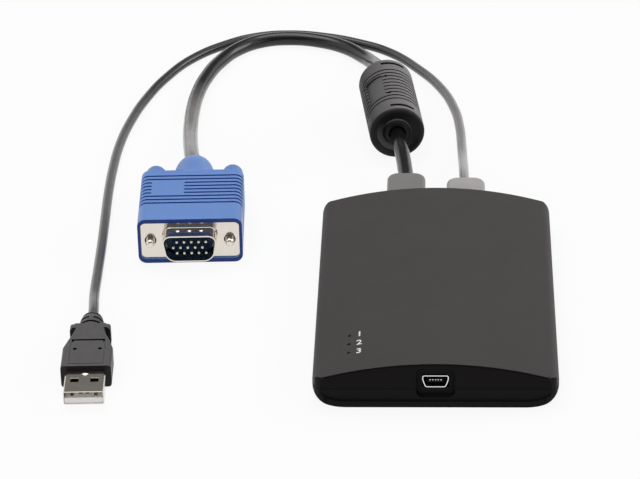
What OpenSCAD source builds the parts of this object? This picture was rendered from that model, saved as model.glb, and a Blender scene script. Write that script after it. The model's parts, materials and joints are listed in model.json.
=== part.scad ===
// Crash cart adapter: a palm-size charcoal case with a mini socket at the front and two captive leads
// at the back, one to a fifteen-pin display plug with a ferrite on it, one to a flat serial plug.
// Millimetres. X runs across the case, Y from its front to its back, Z up. The origin is on the
// surface it stands on, under the middle of the case.

/* [Case] */
// Width of the case at its widest line
case_w = 72.2; // [71:0.1:76]
// Length of the case from its front edge to its back edge
case_l = 106; // [104:0.5:112]
// Height of the case at the middle of its arched top
case_h = 15; // [14.6:0.1:16.5]
// Height that the arched top drops from its middle to its sides
crown_rise = 5.66; // [5:0.02:5.8]
// Distance from the shoulder down to the line where the two covers meet
parting_drop = 1.13; // [1:0.01:1.3]
// Wall of both covers
wall = 2; // [1.8:0.1:2.2]
// Radius of the case corners seen from above
corner_r = 4.5; // [3.5:0.1:6]
// Width of the rounded lower edge along each side
skirt_w = 9.6; // [8.5:0.1:10]
// Height of the upright strip between the rounded lower edge and the line where the covers meet
skirt_gap = 0.3; // [0.2:0.05:0.8]
// Radius between each side and the arched top
shoulder_r = 3; // [2.6:0.1:3.4]
// Rounding of the top edge at the front and the back
edge_r = 1; // [0.6:0.1:1.4]

/* [Front] */
// Depth of the recessed front panel
panel_depth = 0.6; // [0.4:0.1:1]
// Width of the rim round the panel at its sides and foot
panel_rim = 2; // [1.6:0.1:2.4]
// Width of the rim above the panel
panel_rim_top = 0.9; // [0.7:0.1:1.2]
// Width of the pocket round the socket
pocket_w = 11.3; // [10.8:0.1:12]
// Height of the pocket
pocket_h = 9.8; // [9:0.1:10]
// Corner radius of the pocket
pocket_r = 2; // [1.5:0.1:2.4]
// Depth of the pocket behind the panel
pocket_depth = 1.4; // [1.2:0.1:1.6]

/* [Board] */
// Gap between the circuit board and the wall at each side
board_side_gap = 3.1; // [2.8:0.1:3.6]
// Gap between the circuit board and the back wall
board_back_gap = 10.6; // [9.8:0.1:14]
// Thickness of the circuit board
board_t = 1.6; // [1.2:0.1:1.6]
// Height of the socket's middle above the middle of the case
mini_rise = 0.5; // [0.4:0.1:0.7]
// Distance from the screws to the sides of the board
screw_side_inset = 2; // [1.8:0.1:3]
// Distance from the screws to the ends of the board
screw_end_inset = 4; // [3.4:0.1:5]
// Diameter of the case screws
screw_d = 2.4; // [2.2:0.1:2.6]
// Distance from one status lamp to the next
led_pitch = 4.7; // [4.4:0.1:5.2]
// Diameter of the pinholes over the lamps
pinhole_d = 1.1; // [0.8:0.1:1.6]

/* [Glands] */
// Distance between the two glands
gland_span = 19.2; // [18:0.1:22]
// Width of a gland outside the case
gland_w = 12.3; // [11.5:0.1:13]
// Height of a gland outside the case
gland_h = 7.8; // [7.4:0.1:8]
// Length of the display lead's gland outside the case
vga_gland_l = 16.4; // [14:0.1:18]
// Length of the serial lead's gland outside the case
usb_gland_l = 13.4; // [12:0.1:16]

/* [Leads] */
// Diameter of the display cable
vga_d = 5; // [4.6:0.1:5.6]
// Diameter of the serial cable
usb_d = 3.2; // [3:0.1:3.6]

/* [Ferrite] */
// Diameter of the cover moulded over the ferrite
ferrite_d = 18.4; // [17.6:0.1:19]
// Length of that cover
ferrite_l = 37.5; // [36:0.5:39]
// Outer diameter of the ferrite core
core_d = 14.2; // [13:0.1:14.6]
// Length of the ferrite core
core_l = 28.5; // [26:0.5:29]
// Angle of the ferrite to the case, seen from above
ferrite_turn = 7; // [5:0.5:9]

/* [Display plug] */
// Width of the moulded hood
hood_w = 33; // [32.6:0.1:34]
// Height of the hood
hood_h = 15.8; // [15.4:0.1:16.4]
// Length of the hood without its strain relief
hood_l = 32.2; // [31:0.1:34]
// Corner radius of the hood seen from the front
hood_r = 2.6; // [2:0.1:3]
// Number of grip grooves round the hood
groove_count = 9; // [7:1:9]
// Distance from one grip groove to the next
groove_pitch = 2.2; // [2:0.05:2.3]
// Diameter of the strain relief behind the hood
relief_d = 13.2; // [12.4:0.1:14]
// Length of the strain relief
relief_l = 16.6; // [15:0.1:18]
// Width of the metal face
face_w = 31; // [30.6:0.1:31.2]
// Height of the metal face
face_h = 12.6; // [12.2:0.1:12.8]
// Inside width of the metal shell round the pins
dshell_w = 16.92; // [16.8:0.02:17.1]
// Inside height of the metal shell round the pins
dshell_h = 8.36; // [8.2:0.02:8.5]
// Distance that the shell stands out of the metal face
dshell_reach = 5.9; // [5.6:0.1:6.2]
// Distance between the two jackscrews
jack_span = 24.99; // [24.9:0.01:25.1]
// Thread diameter of the jackscrews
jack_d = 2.84; // [2.7:0.02:3]
// Distance that the jackscrews stand out of the hood's front
jack_reach = 3.8; // [3:0.1:5]
// Diameter of the thumb knobs
knob_d = 6.4; // [6:0.1:6.8]
// Length of the thumb knobs
knob_l = 12; // [10:0.1:13]
// Angle of the display plug to the case, seen from above
vga_turn = 2; // [0:0.5:4]

/* [Serial plug] */
// Width of the plug's metal shell
usb_shell_w = 12; // [11.9:0.05:12.1]
// Height of the plug's metal shell
usb_shell_h = 4.5; // [4.4:0.05:4.6]
// Distance that the shell stands out of the grip
usb_shell_reach = 11.75; // [11.5:0.05:12.2]
// Width of the moulded grip at its front
grip_w = 15; // [14.6:0.1:15.6]
// Height of the moulded grip
grip_h = 7.4; // [7.2:0.1:8]
// Length of the moulded grip with its back flange
grip_l = 24.2; // [23:0.1:26]
// Angle of the plug to the case, seen from above
usb_turn = 2; // [0:0.5:4]

/* [Hidden] */

$fn = 48;
overrun = 0.5;
fit_gap = 0.1;
crown_facets = 360;
colour_case = [0.16, 0.155, 0.15];
colour_steel = [0.78, 0.77, 0.74];
colour_black = [0.1, 0.1, 0.1];
colour_blue = [0.22, 0.4, 0.75];
colour_gold = [0.8, 0.65, 0.3];
colour_cream = [0.92, 0.9, 0.85];
colour_lead = [0.07, 0.07, 0.075];

// Case outline
half_w = case_w / 2;
half_l = case_l / 2;
crown_r = (half_w * half_w + crown_rise * crown_rise) / (2 * crown_rise);
crown_z = case_h - crown_r;
shoulder_x = half_w - shoulder_r;
shoulder_z = crown_z + sqrt(pow(crown_r - shoulder_r, 2) - pow(shoulder_x, 2));
shoulder_a = atan2(shoulder_z - crown_z, shoulder_x);
parting_z = shoulder_z - parting_drop;
skirt_h = parting_z - skirt_gap;
lip_h = 1.5;
under_crown_r = crown_r - wall;

// Front of the case
port_wall = 1.2;
port_block_w = 15;
pocket_floor_y = panel_depth + pocket_depth - half_l;
board_front_y = pocket_floor_y + port_wall + 2 * fit_gap;

// Board and what stands on it
board_w = case_w - 2 * (wall + board_side_gap);
board_back_y = half_l - wall - board_back_gap;
board_l = board_back_y - board_front_y;
board_mid_y = board_front_y + board_l / 2;
mini_h = 4;
mini_z = case_h / 2 + mini_rise;
board_top = mini_z - mini_h / 2;
board_z = board_top - board_t;
board_corner_r = 1.5;
post_d = 6;
boss_d = 5.6;
screw_span_x = board_w - 2 * screw_side_inset;
screw_span_y = board_l - 2 * screw_end_inset;
screw_y0 = board_front_y + screw_end_inset;
screw_head_d = 4.8;
screw_head_h = 1.3;
screw_recess = 1.1;
driver_slot_w = 0.6;
driver_slot_l = 2.6;
driver_slot_h = 0.7;
board_hole_gap = 0.4;
board_hole_d = screw_d + 2 * board_hole_gap;
led_side_inset = 5.5;
led_front_inset = 7.2;
led_x = led_side_inset - board_w / 2;
led_y0 = board_front_y + led_front_inset;
led_d = 2.9;
led_flange_d = 3.4;
led_flange_h = 0.8;

// Socket at the front
mini_w = 7.7;
mini_l = 9.2;
mini_sheet = 0.3;
mini_shelf = 1.9;
mini_taper = 0.85;
mini_foot = 0.7;
mini_out = 0.4;
mini_y0 = pocket_floor_y - mini_out;
mini_tongue_w = 4.6;
mini_tongue_t = 1;
mini_tongue_l = 6.6;
mini_back_l = 1.6;
mini_contact_w = 0.4;
mini_contact_pitch = 0.8;
mini_contact_t = 0.15;
mini_contact_l = 4.6;
mini_tab_l = 1.8;
mini_tab_w = 1;

// Glands
gland_z = case_h / 2;
gland_x = gland_span / 2;
gland_r = 2;
gland_plan_r = 3.6;
neck_w = 9.2;
neck_h = 5.8;
neck_r = 1.4;
flange_t = 1.8;
neck_gap = 0.1;
inner_face_y = half_l - wall - fit_gap;

// Lead sockets on the board
header_h = 3.4;
header_l = 5.2;
header_wall = 0.8;
wire_pitch = 1.25;
wire_d = 0.65;
wire_bundle_pitch = 1.1;
wire_rows = 3;
vga_wires = 14;
usb_wires = 5;
header_back_inset = 14.4;
header_y = board_back_y - header_back_inset;
vga_header_share = -0.21;
usb_header_share = 0.226;
plug_reach = 2.2;
stub_inside_l = 3;
wire_straight_l = 1.2;

// Display plug
vga_x = -77.4;
vga_y = 30.7;
vga_z = hood_h / 2;
face_inset = 0.7;
face_t = 0.5;
face_r = 1.4;
sheet_t = 0.45;
dshell_r = 2.6;
dshell_slope = 10;
jack_hole_d = 3.7;
jack_neck_d = 2.2;
jack_thread_gap = 0.25;
jack_thread_l = jack_reach - jack_thread_gap;
jack_bore_l = 13;
running_gap = 0.08;
groove_w = 0.9;
groove_depth = 0.55;
groove_front = 10.4;
pad_x = -7.5;
pad_w = 10.4;
pad_y = 20.75;
pad_l = 9.4;
relief_straight_l = 8.6;
relief_end_d = 6.6;
back_shell_w = 18.6;
back_shell_h = 10.4;
back_shell_l = 6;
insert_gap = 0.25;
insert_w = dshell_w - 2 * insert_gap;
insert_h = dshell_h - 2 * insert_gap;
insert_out = 0.9;
pin_d = 1;
pin_pitch = 2.29;
pin_row = 1.98;
pin_recess = 0.6;
pin_cup_l = 4;
inner_mould_w = 19.6;
inner_mould_h = 11;
inner_mould_l = 15;
face_back = face_inset + face_t;
dshell_front = face_inset - dshell_reach;
mould_front = face_back + back_shell_l;
mould_back = mould_front + inner_mould_l;
knob_seat_gap = 0.3;
knob_flutes = 12;
flute_d = 0.8;
jack_tail_l = 9;

// Serial plug, drawn along its own axis and then turned
usb_tip_x = -103;
usb_tip_y = -54;
usb_shell_z = grip_h / 2;
usb_sheet = 0.3;
usb_shell_inside_l = 7;
usb_shell_l = usb_shell_reach + usb_shell_inside_l;
usb_window_w = 2.46;
usb_window_l = 2.2;
usb_window_x = 2.93;
usb_window_y = 6.3;
usb_tongue_t = 1.84;
usb_tongue_gap = 0.3;
usb_contact_w = 1;
usb_contact_t = 0.15;
usb_contact_l = 7;
usb_contact_near = 1;
usb_contact_far = 3.5;
grip_front_l = 11;
grip_shoulder_l = 4.8;
grip_neck_w = 9.8;
grip_neck_end_w = 7.4;
grip_flange_l = 2.5;
grip_flange_w = 12.3;
grip_r = 1;
grip_step = 0.6;
grip_inner_l = 9;
ring_count = 3;
ring_pitch = 2.7;
ring_w = 1.9;
ring_d = 7.2;
ring_shrink = 0.9;
ring_core_d = 4.6;
usb_relief_l = ring_count * ring_pitch;

// Ferrite
ferrite_mid = [-15.2, 118.4, 0];
ferrite_z = ferrite_d / 2;
ferrite_edge_r = 1.1;
ferrite_groove_w = 0.75;
ferrite_groove_depth = 0.5;
ferrite_grooves = 10;
ferrite_groove_pitch = 2.35;
ferrite_collar_d = 8.4;
ferrite_face_d = 15.6;
ferrite_face_depth = 0.6;
ferrite_bore_gap = 0.2;
ferrite_bore_d = vga_d + 2 * ferrite_bore_gap;
core_bore_gap = 0.7;
core_bore_d = vga_d + 2 * core_bore_gap;
ferrite_slot_y = 3.4;
ferrite_slot_w = 0.9;
ferrite_slot_depth = 0.8;
ferrite_slot_span = 62;
ferrite_pad_w = 7.2;
ferrite_pad_l = 14.2;
ferrite_pad_lean = 38;
ferrite_pin_d = 1;
ferrite_lead_l = 6;

// Places along the leads, chosen by hand, between the glands, the ferrite and the plugs
vga_route_near = [[-9.6, 75, 7.5], [-10.6, 85, 8.2]];
vga_route_far = [[-19.9, 153, 6.8], [-22, 161, 4.4], [-26, 169.8, 2.8], [-33, 178, 2.5],
    [-42, 182.9, 2.5], [-52.4, 184.8, 2.5], [-62, 183, 2.5], [-70, 177, 2.5], [-76.2, 166.8, 2.5],
    [-80.4, 154.4, 2.5], [-82.6, 141.4, 2.5], [-83.5, 128, 2.5], [-83.3, 114, 2.5],
    [-82.2, 101, 3.4], [-80.6, 91.6, 6.2]];
usb_route = [[9.5, 76, 6.8], [9.1, 84, 5], [8.8, 95, 2.6], [8.5, 106, 1.6], [8, 118, 1.6],
    [6.2, 132, 1.6], [1.6, 147.4, 1.6], [-6, 161.6, 1.6], [-17, 175.6, 1.6], [-28, 182.8, 1.6],
    [-40, 187.6, 1.6], [-52.4, 189.7, 1.6], [-64.6, 187.8, 1.6], [-75.4, 181.6, 1.6],
    [-86.6, 170.4, 1.6], [-94.6, 156, 1.6], [-100.4, 140.6, 1.6], [-104.4, 124, 1.6],
    [-106.8, 106.8, 1.6], [-107.6, 89.6, 1.6], [-107.6, 72.4, 1.6], [-107.1, 55.4, 1.6],
    [-106.6, 38.4, 1.6], [-106.2, 21.4, 1.6], [-105.8, 8, 1.9]];
vga_sides = 12;
usb_sides = 8;
usb_rings_per_place = 2;
wire_sides = 6;

// Height of the underside of the arched top at a distance from the middle
function under_crown(x) = crown_z + sqrt(pow(under_crown_r, 2) - pow(x, 2));

// Points along an arc with a width radius and a height radius
function arc(cx, cy, rx, ry, from, to, steps) =
    [for (i = [0:steps]) let(a = from + (to - from) * i / steps) [cx + rx * cos(a), cy + ry * sin(a)]];

function mirrored(points) = [for (i = [len(points) - 1:-1:0]) [-points[i].x, points[i].y]];

// Cross-section of the case below its arched top, drawn in by an inset
function side_outline(inset) = let(
    low = arc(half_w - skirt_w, skirt_h, skirt_w - inset, skirt_h - inset, -90, 0, 9),
    high = arc(shoulder_x, shoulder_z, shoulder_r - inset, shoulder_r - inset, 0, shoulder_a, 6),
    top = [[high[len(high) - 1].x, case_h + overrun]],
    right = concat(low, high, top))
    concat(right, mirrored(right));

// Outline of a trapezoid with round corners, wide side up, as the shell round the pins has it
function dshell_outline(w, h, r) = let(
    lean = h / 2 * tan(dshell_slope) - r * (1 / cos(dshell_slope) - 1),
    x_top = w / 2 - r,
    x_low = w / 2 - r - 2 * lean,
    y = h / 2 - r)
    concat(
        arc(x_top, y, r, r, -dshell_slope, 90, 6),
        arc(-x_top, y, r, r, 90, 180 + dshell_slope, 6),
        arc(-x_low, -y, r, r, 180 + dshell_slope, 270, 6),
        arc(x_low, -y, r, r, 270, 360 - dshell_slope, 6));

// Smooth curve through chosen places, with a number of steps from each place to the next
function blend_point(a, b, c, d, t) =
    0.5 * (2 * b + (c - a) * t + (2 * a - 5 * b + 4 * c - d) * t * t + (3 * b - a - 3 * c + d) * t * t * t);
function smooth_route(p, steps) = let(last = len(p) - 1)
    concat([for (i = [0:last - 1], s = [0:steps - 1])
        blend_point(p[max(i - 1, 0)], p[i], p[i + 1], p[min(i + 2, last)], s / steps)], [p[last]]);

function unit(v) = v / norm(v);
function route_heading(p, i) = unit(p[min(i + 1, len(p) - 1)] - p[max(i - 1, 0)]);
function ring_points(centre, heading, r, sides) = let(
    across = unit(cross(heading, [0, 0, 1])),
    up = cross(across, heading))
    [for (k = [0:sides - 1]) let(a = 360 * (k + 0.5) / sides) centre + r * (cos(a) * across + sin(a) * up)];

// A round tube swept along places, with flat ends square to its first and last stretch
module swept_tube(p, r, sides) {
    last = len(p) - 1;
    rings = [for (i = [0:last]) ring_points(p[i], route_heading(p, i), r, sides)];
    points = [for (ring = rings, point = ring) point];
    skin = [for (i = [0:last - 1], k = [0:sides - 1]) let(n = (k + 1) % sides)
        [i * sides + k, i * sides + n, (i + 1) * sides + n, (i + 1) * sides + k]];
    ends = [[for (k = [sides - 1:-1:0]) k], [for (k = [0:sides - 1]) last * sides + k]];
    triangles = concat(
        [for (f = skin) [f[0], f[1], f[2]]],
        [for (f = skin) [f[0], f[2], f[3]]],
        [for (k = [1:sides - 2]) [ends[0][0], ends[0][k], ends[0][k + 1]]],
        [for (k = [1:sides - 2]) [ends[1][0], ends[1][k], ends[1][k + 1]]]);
    polyhedron(points, triangles);
}

// Rectangle with round corners, centred
module round_rect(w, h, r) {
    square([w - 2 * r, h], center = true);
    square([w, h - 2 * r], center = true);
    for (x = [-1, 1], y = [-1, 1]) {
        translate([x * (w / 2 - r), y * (h / 2 - r)]) circle(r);
    }
}

// Extrudes a front view from one Y to another
module along_y(y_from, y_to) {
    translate([0, y_to, 0]) rotate([90, 0, 0]) linear_extrude(y_to - y_from) children();
}

// Solid of the whole case, drawn in by an inset all round
module case_solid(inset) {
    intersection() {
        translate([0, 0, crown_z]) rotate([90, 0, 0])
            crown_drum(crown_r - inset, case_l - 2 * inset, max(edge_r - inset, 0));
        along_y(inset - half_l, half_l - inset) polygon(side_outline(inset));
        linear_extrude(case_h) round_rect(case_w - 2 * inset, case_l - 2 * inset, corner_r - inset);
    }
}

// Drum whose top is the arched top, with its two edges rounded
module crown_drum(r, l, edge) {
    if (edge > 0) {
        rotate_extrude($fn = crown_facets) {
            translate([0, -l / 2]) square([r - edge, l]);
            translate([0, edge - l / 2]) square([r, l - 2 * edge]);
            for (y = [-1, 1]) {
                translate([r - edge, y * (l / 2 - edge)]) circle(edge);
            }
        }
    } else {
        cylinder(r = r, h = l, center = true, $fn = crown_facets);
    }
}

module slab(z_from, z_to) {
    translate([-case_w, -case_l, z_from]) cube([2 * case_w, 2 * case_l, z_to - z_from]);
}

// Recess of the front panel, pocket and socket opening, cut out of both covers
module front_cuts() {
    intersection() {
        along_y(-half_l - overrun, panel_depth - half_l) polygon(side_outline(panel_rim));
        translate([0, 0, crown_z]) rotate([90, 0, 0])
            cylinder(r = crown_r - panel_rim_top, h = 2 * case_l, center = true, $fn = crown_facets);
    }
    translate([0, 0, mini_z]) along_y(-half_l - overrun, pocket_floor_y)
        round_rect(pocket_w, pocket_h, pocket_r);
    translate([0, 0, mini_z]) along_y(pocket_floor_y - overrun, pocket_floor_y + port_wall + overrun)
        square([mini_w + 2 * fit_gap, mini_h + 2 * fit_gap], center = true);
}

// Openings in the back wall for the necks of the two glands
module gland_cuts() {
    for (side = [-1, 1]) {
        translate([side * gland_x, 0, gland_z]) along_y(half_l - wall - overrun, half_l + overrun)
            round_rect(neck_w + 2 * neck_gap, neck_h + 2 * neck_gap, neck_r);
    }
}

module at_screws() {
    for (x = [-1, 1], y = [0, 1]) {
        translate([x * screw_span_x / 2, screw_y0 + y * screw_span_y, 0]) children();
    }
}

module at_leds() {
    for (i = [0:2]) {
        translate([led_x, led_y0 + i * led_pitch, 0]) children();
    }
}

// Block behind the front wall that carries the pocket's floor
module port_block() {
    intersection() {
        case_solid(wall / 2);
        translate([-port_block_w / 2, -half_l, 0])
            cube([port_block_w, panel_depth + pocket_depth + port_wall, case_h]);
    }
}

module top_cover() {
    color(colour_case) difference() {
        intersection() {
            union() {
                difference() {
                    case_solid(0);
                    case_solid(wall);
                }
                port_block();
                intersection() {
                    case_solid(wall / 2);
                    at_screws() translate([0, 0, board_top + fit_gap]) cylinder(d = boss_d, h = case_h);
                }
            }
            slab(parting_z, case_h + overrun);
        }
        intersection() {
            difference() {
                case_solid(wall / 2);
                case_solid(wall + fit_gap);
            }
            slab(parting_z - overrun, parting_z + lip_h + fit_gap);
        }
        front_cuts();
        gland_cuts();
        at_screws() cylinder(d = screw_d + fit_gap, h = under_crown(screw_span_x / 2) + wall / 4);
        at_leds() translate([0, 0, board_top]) cylinder(d = pinhole_d, h = case_h);
    }
}

module bottom_cover() {
    color(colour_case) difference() {
        union() {
            intersection() {
                union() {
                    difference() {
                        case_solid(0);
                        case_solid(wall);
                    }
                    port_block();
                    intersection() {
                        case_solid(wall / 2);
                        at_screws() cylinder(d = post_d, h = board_z);
                    }
                }
                slab(-overrun, parting_z);
            }
            intersection() {
                difference() {
                    case_solid(wall / 2 + fit_gap);
                    case_solid(wall);
                }
                slab(parting_z - wall, parting_z + lip_h);
            }
        }
        front_cuts();
        gland_cuts();
        translate([0, 0, -overrun]) at_screws() cylinder(d = screw_d + 2 * fit_gap, h = board_top);
        translate([0, 0, -overrun]) at_screws()
            cylinder(d = screw_head_d + 2 * fit_gap, h = overrun + screw_recess + screw_head_h);
    }
}

module case_screws() {
    seat = screw_recess + screw_head_h;
    tip = under_crown(screw_span_x / 2);
    color(colour_steel) at_screws() difference() {
        union() {
            translate([0, 0, screw_recess]) cylinder(d = screw_head_d, h = screw_head_h);
            translate([0, 0, seat]) cylinder(d = screw_d, h = tip - seat);
        }
        for (a = [0, 90]) {
            rotate([0, 0, a]) translate([-driver_slot_l / 2, -driver_slot_w / 2, screw_recess - overrun])
                cube([driver_slot_l, driver_slot_w, driver_slot_h + overrun]);
        }
    }
}

module main_board() {
    color([0.05, 0.3, 0.15]) difference() {
        translate([0, board_mid_y, board_z]) linear_extrude(board_t)
            round_rect(board_w, board_l, board_corner_r);
        at_screws() cylinder(d = board_hole_d, h = case_h);
    }
}

// A chip with gull-wing leads: how many leads stand on its X sides and on its Y sides
chip_standoff = 0.15;
leg_t = 0.15;
leg_w = 0.24;
leg_reach = 1;
module chip(size, x_legs, y_legs, pitch) {
    w = size.x;
    l = size.y;
    h = size.z;
    translate([-w / 2, -l / 2, chip_standoff]) cube([w, l, h]);
    leg_z = chip_standoff + h / 2;
    foot = leg_reach / 2;
    for (side = [0, 180]) {
        rotate([0, 0, side]) {
            for (i = [0:1:x_legs - 1]) {
                translate([w / 2, (i - (x_legs - 1) / 2) * pitch - leg_w / 2, 0]) {
                    translate([-leg_t, 0, leg_z]) cube([foot + leg_t, leg_w, leg_t]);
                    translate([foot - leg_t, 0, 0]) cube([leg_t, leg_w, leg_z + leg_t]);
                    translate([foot - leg_t, 0, 0]) cube([foot + leg_t, leg_w, leg_t]);
                }
            }
            for (i = [0:1:y_legs - 1]) {
                translate([(i - (y_legs - 1) / 2) * pitch - leg_w / 2, l / 2, 0]) {
                    translate([0, -leg_t, leg_z]) cube([leg_w, foot + leg_t, leg_t]);
                    translate([0, foot - leg_t, 0]) cube([leg_w, leg_t, leg_z + leg_t]);
                    translate([0, foot - leg_t, 0]) cube([leg_w, foot + leg_t, leg_t]);
                }
            }
        }
    }
}

video_chip_size = [14, 14, 1.4];
usb_chip_size = [7, 7, 1.2];
memory_chip_size = [10.2, 22.2, 1];
flash_chip_size = [5.3, 5.2, 1.8];
video_pitch = 0.5;
usb_chip_pitch = 0.5;
memory_pitch = 0.8;
flash_pitch = 1.27;
video_place_share = [0, 0.01];
usb_chip_place_share = [0, -0.28];
memory_place_share = [0.306, 0.01];
flash_place_share = [-0.22, -0.17];

// Stands a part on the board at a share of its width and length from the board's middle
module on_board(share) {
    translate([share.x * board_w, board_mid_y + share.y * board_l, board_top]) children();
}

module video_chip() {
    color(colour_black) on_board(video_place_share) chip(video_chip_size, 24, 24, video_pitch);
}

module usb_chip() {
    color(colour_black) on_board(usb_chip_place_share) chip(usb_chip_size, 12, 12, usb_chip_pitch);
}

module memory_chip() {
    color(colour_black) on_board(memory_place_share) chip(memory_chip_size, 27, 0, memory_pitch);
}

module flash_chip() {
    color(colour_black) on_board(flash_place_share) chip(flash_chip_size, 4, 0, flash_pitch);
}

regulator_size = [3.6, 6.6, 1.6];
regulator_pitch = 2.3;
regulator_place_share = [0.3, -0.33];
module regulator() {
    color(colour_black) on_board(regulator_place_share) chip(regulator_size, 3, 0, regulator_pitch);
}

inductor_w = 7.3;
inductor_h = 2.6;
inductor_drum_d = 6.2;
inductor_cap_h = 0.5;
inductor_corner_r = 1;
inductor_place_share = [0.33, -0.2];
module power_inductor() {
    color([0.2, 0.2, 0.2]) on_board(inductor_place_share) {
        linear_extrude(inductor_cap_h) round_rect(inductor_w, inductor_w, inductor_corner_r);
        cylinder(d = inductor_drum_d, h = inductor_h);
        translate([0, 0, inductor_h - inductor_cap_h]) linear_extrude(inductor_cap_h)
            round_rect(inductor_w, inductor_w, inductor_corner_r);
    }
}

crystal_size = [11.4, 4.7, 3.2];
crystal_foot = [12.8, 5, 0.5];
crystal_r = 2.3;
crystal_place_shares = [[-0.27, -0.02], [-0.27, 0.1]];
module crystals() {
    color(colour_steel) for (p = crystal_place_shares) {
        on_board(p) {
            translate([-crystal_foot.x / 2, -crystal_foot.y / 2, 0]) cube(crystal_foot);
            linear_extrude(crystal_size.z) round_rect(crystal_size.x, crystal_size.y, crystal_r);
        }
    }
}

can_d = 5;
can_h = 4.4;
can_foot = 5.4;
can_foot_h = 0.8;
can_groove = 0.3;
can_place_shares = [[0.08, 0.18], [0.19, 0.18], [-0.16, -0.36]];
module filter_capacitors() {
    color(colour_steel) for (p = can_place_shares) {
        on_board(p) {
            translate([-can_foot / 2, -can_foot / 2, 0]) cube([can_foot, can_foot, can_foot_h]);
            cylinder(d = can_d - 2 * can_groove, h = can_h);
            cylinder(d = can_d, h = can_foot_h + can_groove);
            translate([0, 0, can_foot_h + 2 * can_groove])
                cylinder(d = can_d, h = can_h - can_foot_h - 2 * can_groove);
        }
    }
}

// Rows of small two-ended parts beside the chips
small_cap = [1.6, 0.8, 0.8];
small_resistor = [1.6, 0.8, 0.45];
small_pitch = 2.4;
cap_row_shares = [[-0.17, 0.15], [-0.12, -0.25], [0.14, -0.25]];
resistor_row_shares = [[-0.42, 0.23], [-0.42, 0.07], [0.36, 0.21]];
row_count = 5;
module small_rows(row_shares, size) {
    for (p = row_shares, i = [0:row_count - 1]) {
        on_board(p) translate([-size.x / 2, i * small_pitch - size.y / 2, 0]) cube(size);
    }
}

module chip_capacitors() {
    color([0.7, 0.55, 0.4]) small_rows(cap_row_shares, small_cap);
}

module chip_resistors() {
    color(colour_black) small_rows(resistor_row_shares, small_resistor);
}

// Lamps that stand on the board and end just under the top
module status_leds() {
    led_h = under_crown(abs(led_x) + led_d / 2) - 2 * fit_gap - board_top;
    color([0.75, 0.9, 0.8]) at_leds() translate([0, 0, board_top]) {
        cylinder(d = led_flange_d, h = led_flange_h);
        cylinder(d = led_d, h = led_h - led_d / 2);
        translate([0, 0, led_h - led_d / 2]) intersection() {
            sphere(d = led_d);
            cylinder(d = led_flange_d, h = led_d);
        }
    }
}

// Front view of the mini socket, wide side up, drawn in by an inset
function mini_outline(inset) = let(
    w = mini_w / 2 - inset,
    h = mini_h / 2 - inset,
    shelf = mini_h / 2 - mini_shelf)
    [[-w, h], [-w, shelf], [mini_taper - w, shelf - mini_foot], [mini_taper - w, -h],
        [w - mini_taper, -h], [w - mini_taper, shelf - mini_foot], [w, shelf], [w, h]];

module mini_usb_shell() {
    color(colour_steel) {
        translate([0, 0, mini_z]) difference() {
            along_y(mini_y0, mini_y0 + mini_l) polygon(mini_outline(0));
            along_y(mini_y0 - overrun, mini_y0 + mini_l - mini_sheet) polygon(mini_outline(mini_sheet));
        }
        for (x = [-1, 1], y = [mini_l / 2, mini_l - mini_tab_l]) {
            translate([x * (mini_w / 2 + mini_tab_w / 2 - mini_sheet), mini_y0 + y, board_top])
                translate([-mini_tab_w / 2, 0, 0]) cube([mini_tab_w, mini_tab_l, mini_sheet]);
            translate([x * (mini_w / 2 - mini_sheet / 2) - mini_sheet / 2, mini_y0 + y, board_top])
                cube([mini_sheet, mini_tab_l, mini_h - mini_sheet]);
        }
    }
}

module mini_usb_tongue() {
    back = mini_y0 + mini_l - mini_sheet;
    color(colour_black) translate([0, 0, mini_z]) {
        along_y(back - mini_back_l, back) polygon(mini_outline(mini_sheet));
        along_y(back - mini_tongue_l - overrun, back) square([mini_tongue_w, mini_tongue_t], center = true);
    }
}

module mini_usb_contacts() {
    back = mini_y0 + mini_l - mini_sheet - mini_back_l;
    color(colour_gold) for (i = [-2:2]) {
        translate([i * mini_contact_pitch, back - mini_contact_l, mini_z + mini_tongue_t / 2])
            translate([-mini_contact_w / 2, 0, 0]) cube([mini_contact_w, mini_contact_l, mini_contact_t]);
    }
}

// A gland outside the back wall, its neck in the wall and its flange inside
module gland(l, bore_d) {
    difference() {
        union() {
            intersection() {
                along_y(half_l + fit_gap, half_l + l) round_rect(gland_w, gland_h, gland_r);
                translate([0, 0, -gland_h]) linear_extrude(2 * gland_h) {
                    translate([-gland_w / 2, half_l]) square([gland_w, l - gland_plan_r]);
                    translate([gland_plan_r - gland_w / 2, half_l]) square([gland_w - 2 * gland_plan_r, l]);
                    for (x = [-1, 1]) {
                        translate([x * (gland_w / 2 - gland_plan_r), half_l + l - gland_plan_r])
                            circle(gland_plan_r);
                    }
                }
            }
            along_y(inner_face_y - flange_t, half_l + overrun) round_rect(neck_w, neck_h, neck_r);
            along_y(inner_face_y - flange_t, inner_face_y) round_rect(gland_w, gland_h, gland_r);
        }
        along_y(inner_face_y - flange_t - overrun, half_l + l + overrun) circle(d = bore_d);
    }
}

module vga_gland() {
    color([0.35, 0.34, 0.34]) translate([-gland_x, 0, gland_z]) gland(vga_gland_l, vga_d + fit_gap);
}

module usb_gland() {
    color([0.35, 0.34, 0.34]) translate([gland_x, 0, gland_z]) gland(usb_gland_l, usb_d + fit_gap);
}

// Side-entry socket on the board, open towards the back
function header_w(wires) = (wires - 1) * wire_pitch + 2 * header_wall + 2 * wire_pitch;
module board_socket(x, wires) {
    w = header_w(wires);
    color(colour_cream) translate([x, header_y, board_top]) difference() {
        translate([-w / 2, 0, 0]) cube([w, header_l, header_h]);
        translate([header_wall - w / 2, header_wall, header_wall])
            cube([w - 2 * header_wall, header_l, header_h - 2 * header_wall + fit_gap]);
    }
}

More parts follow.
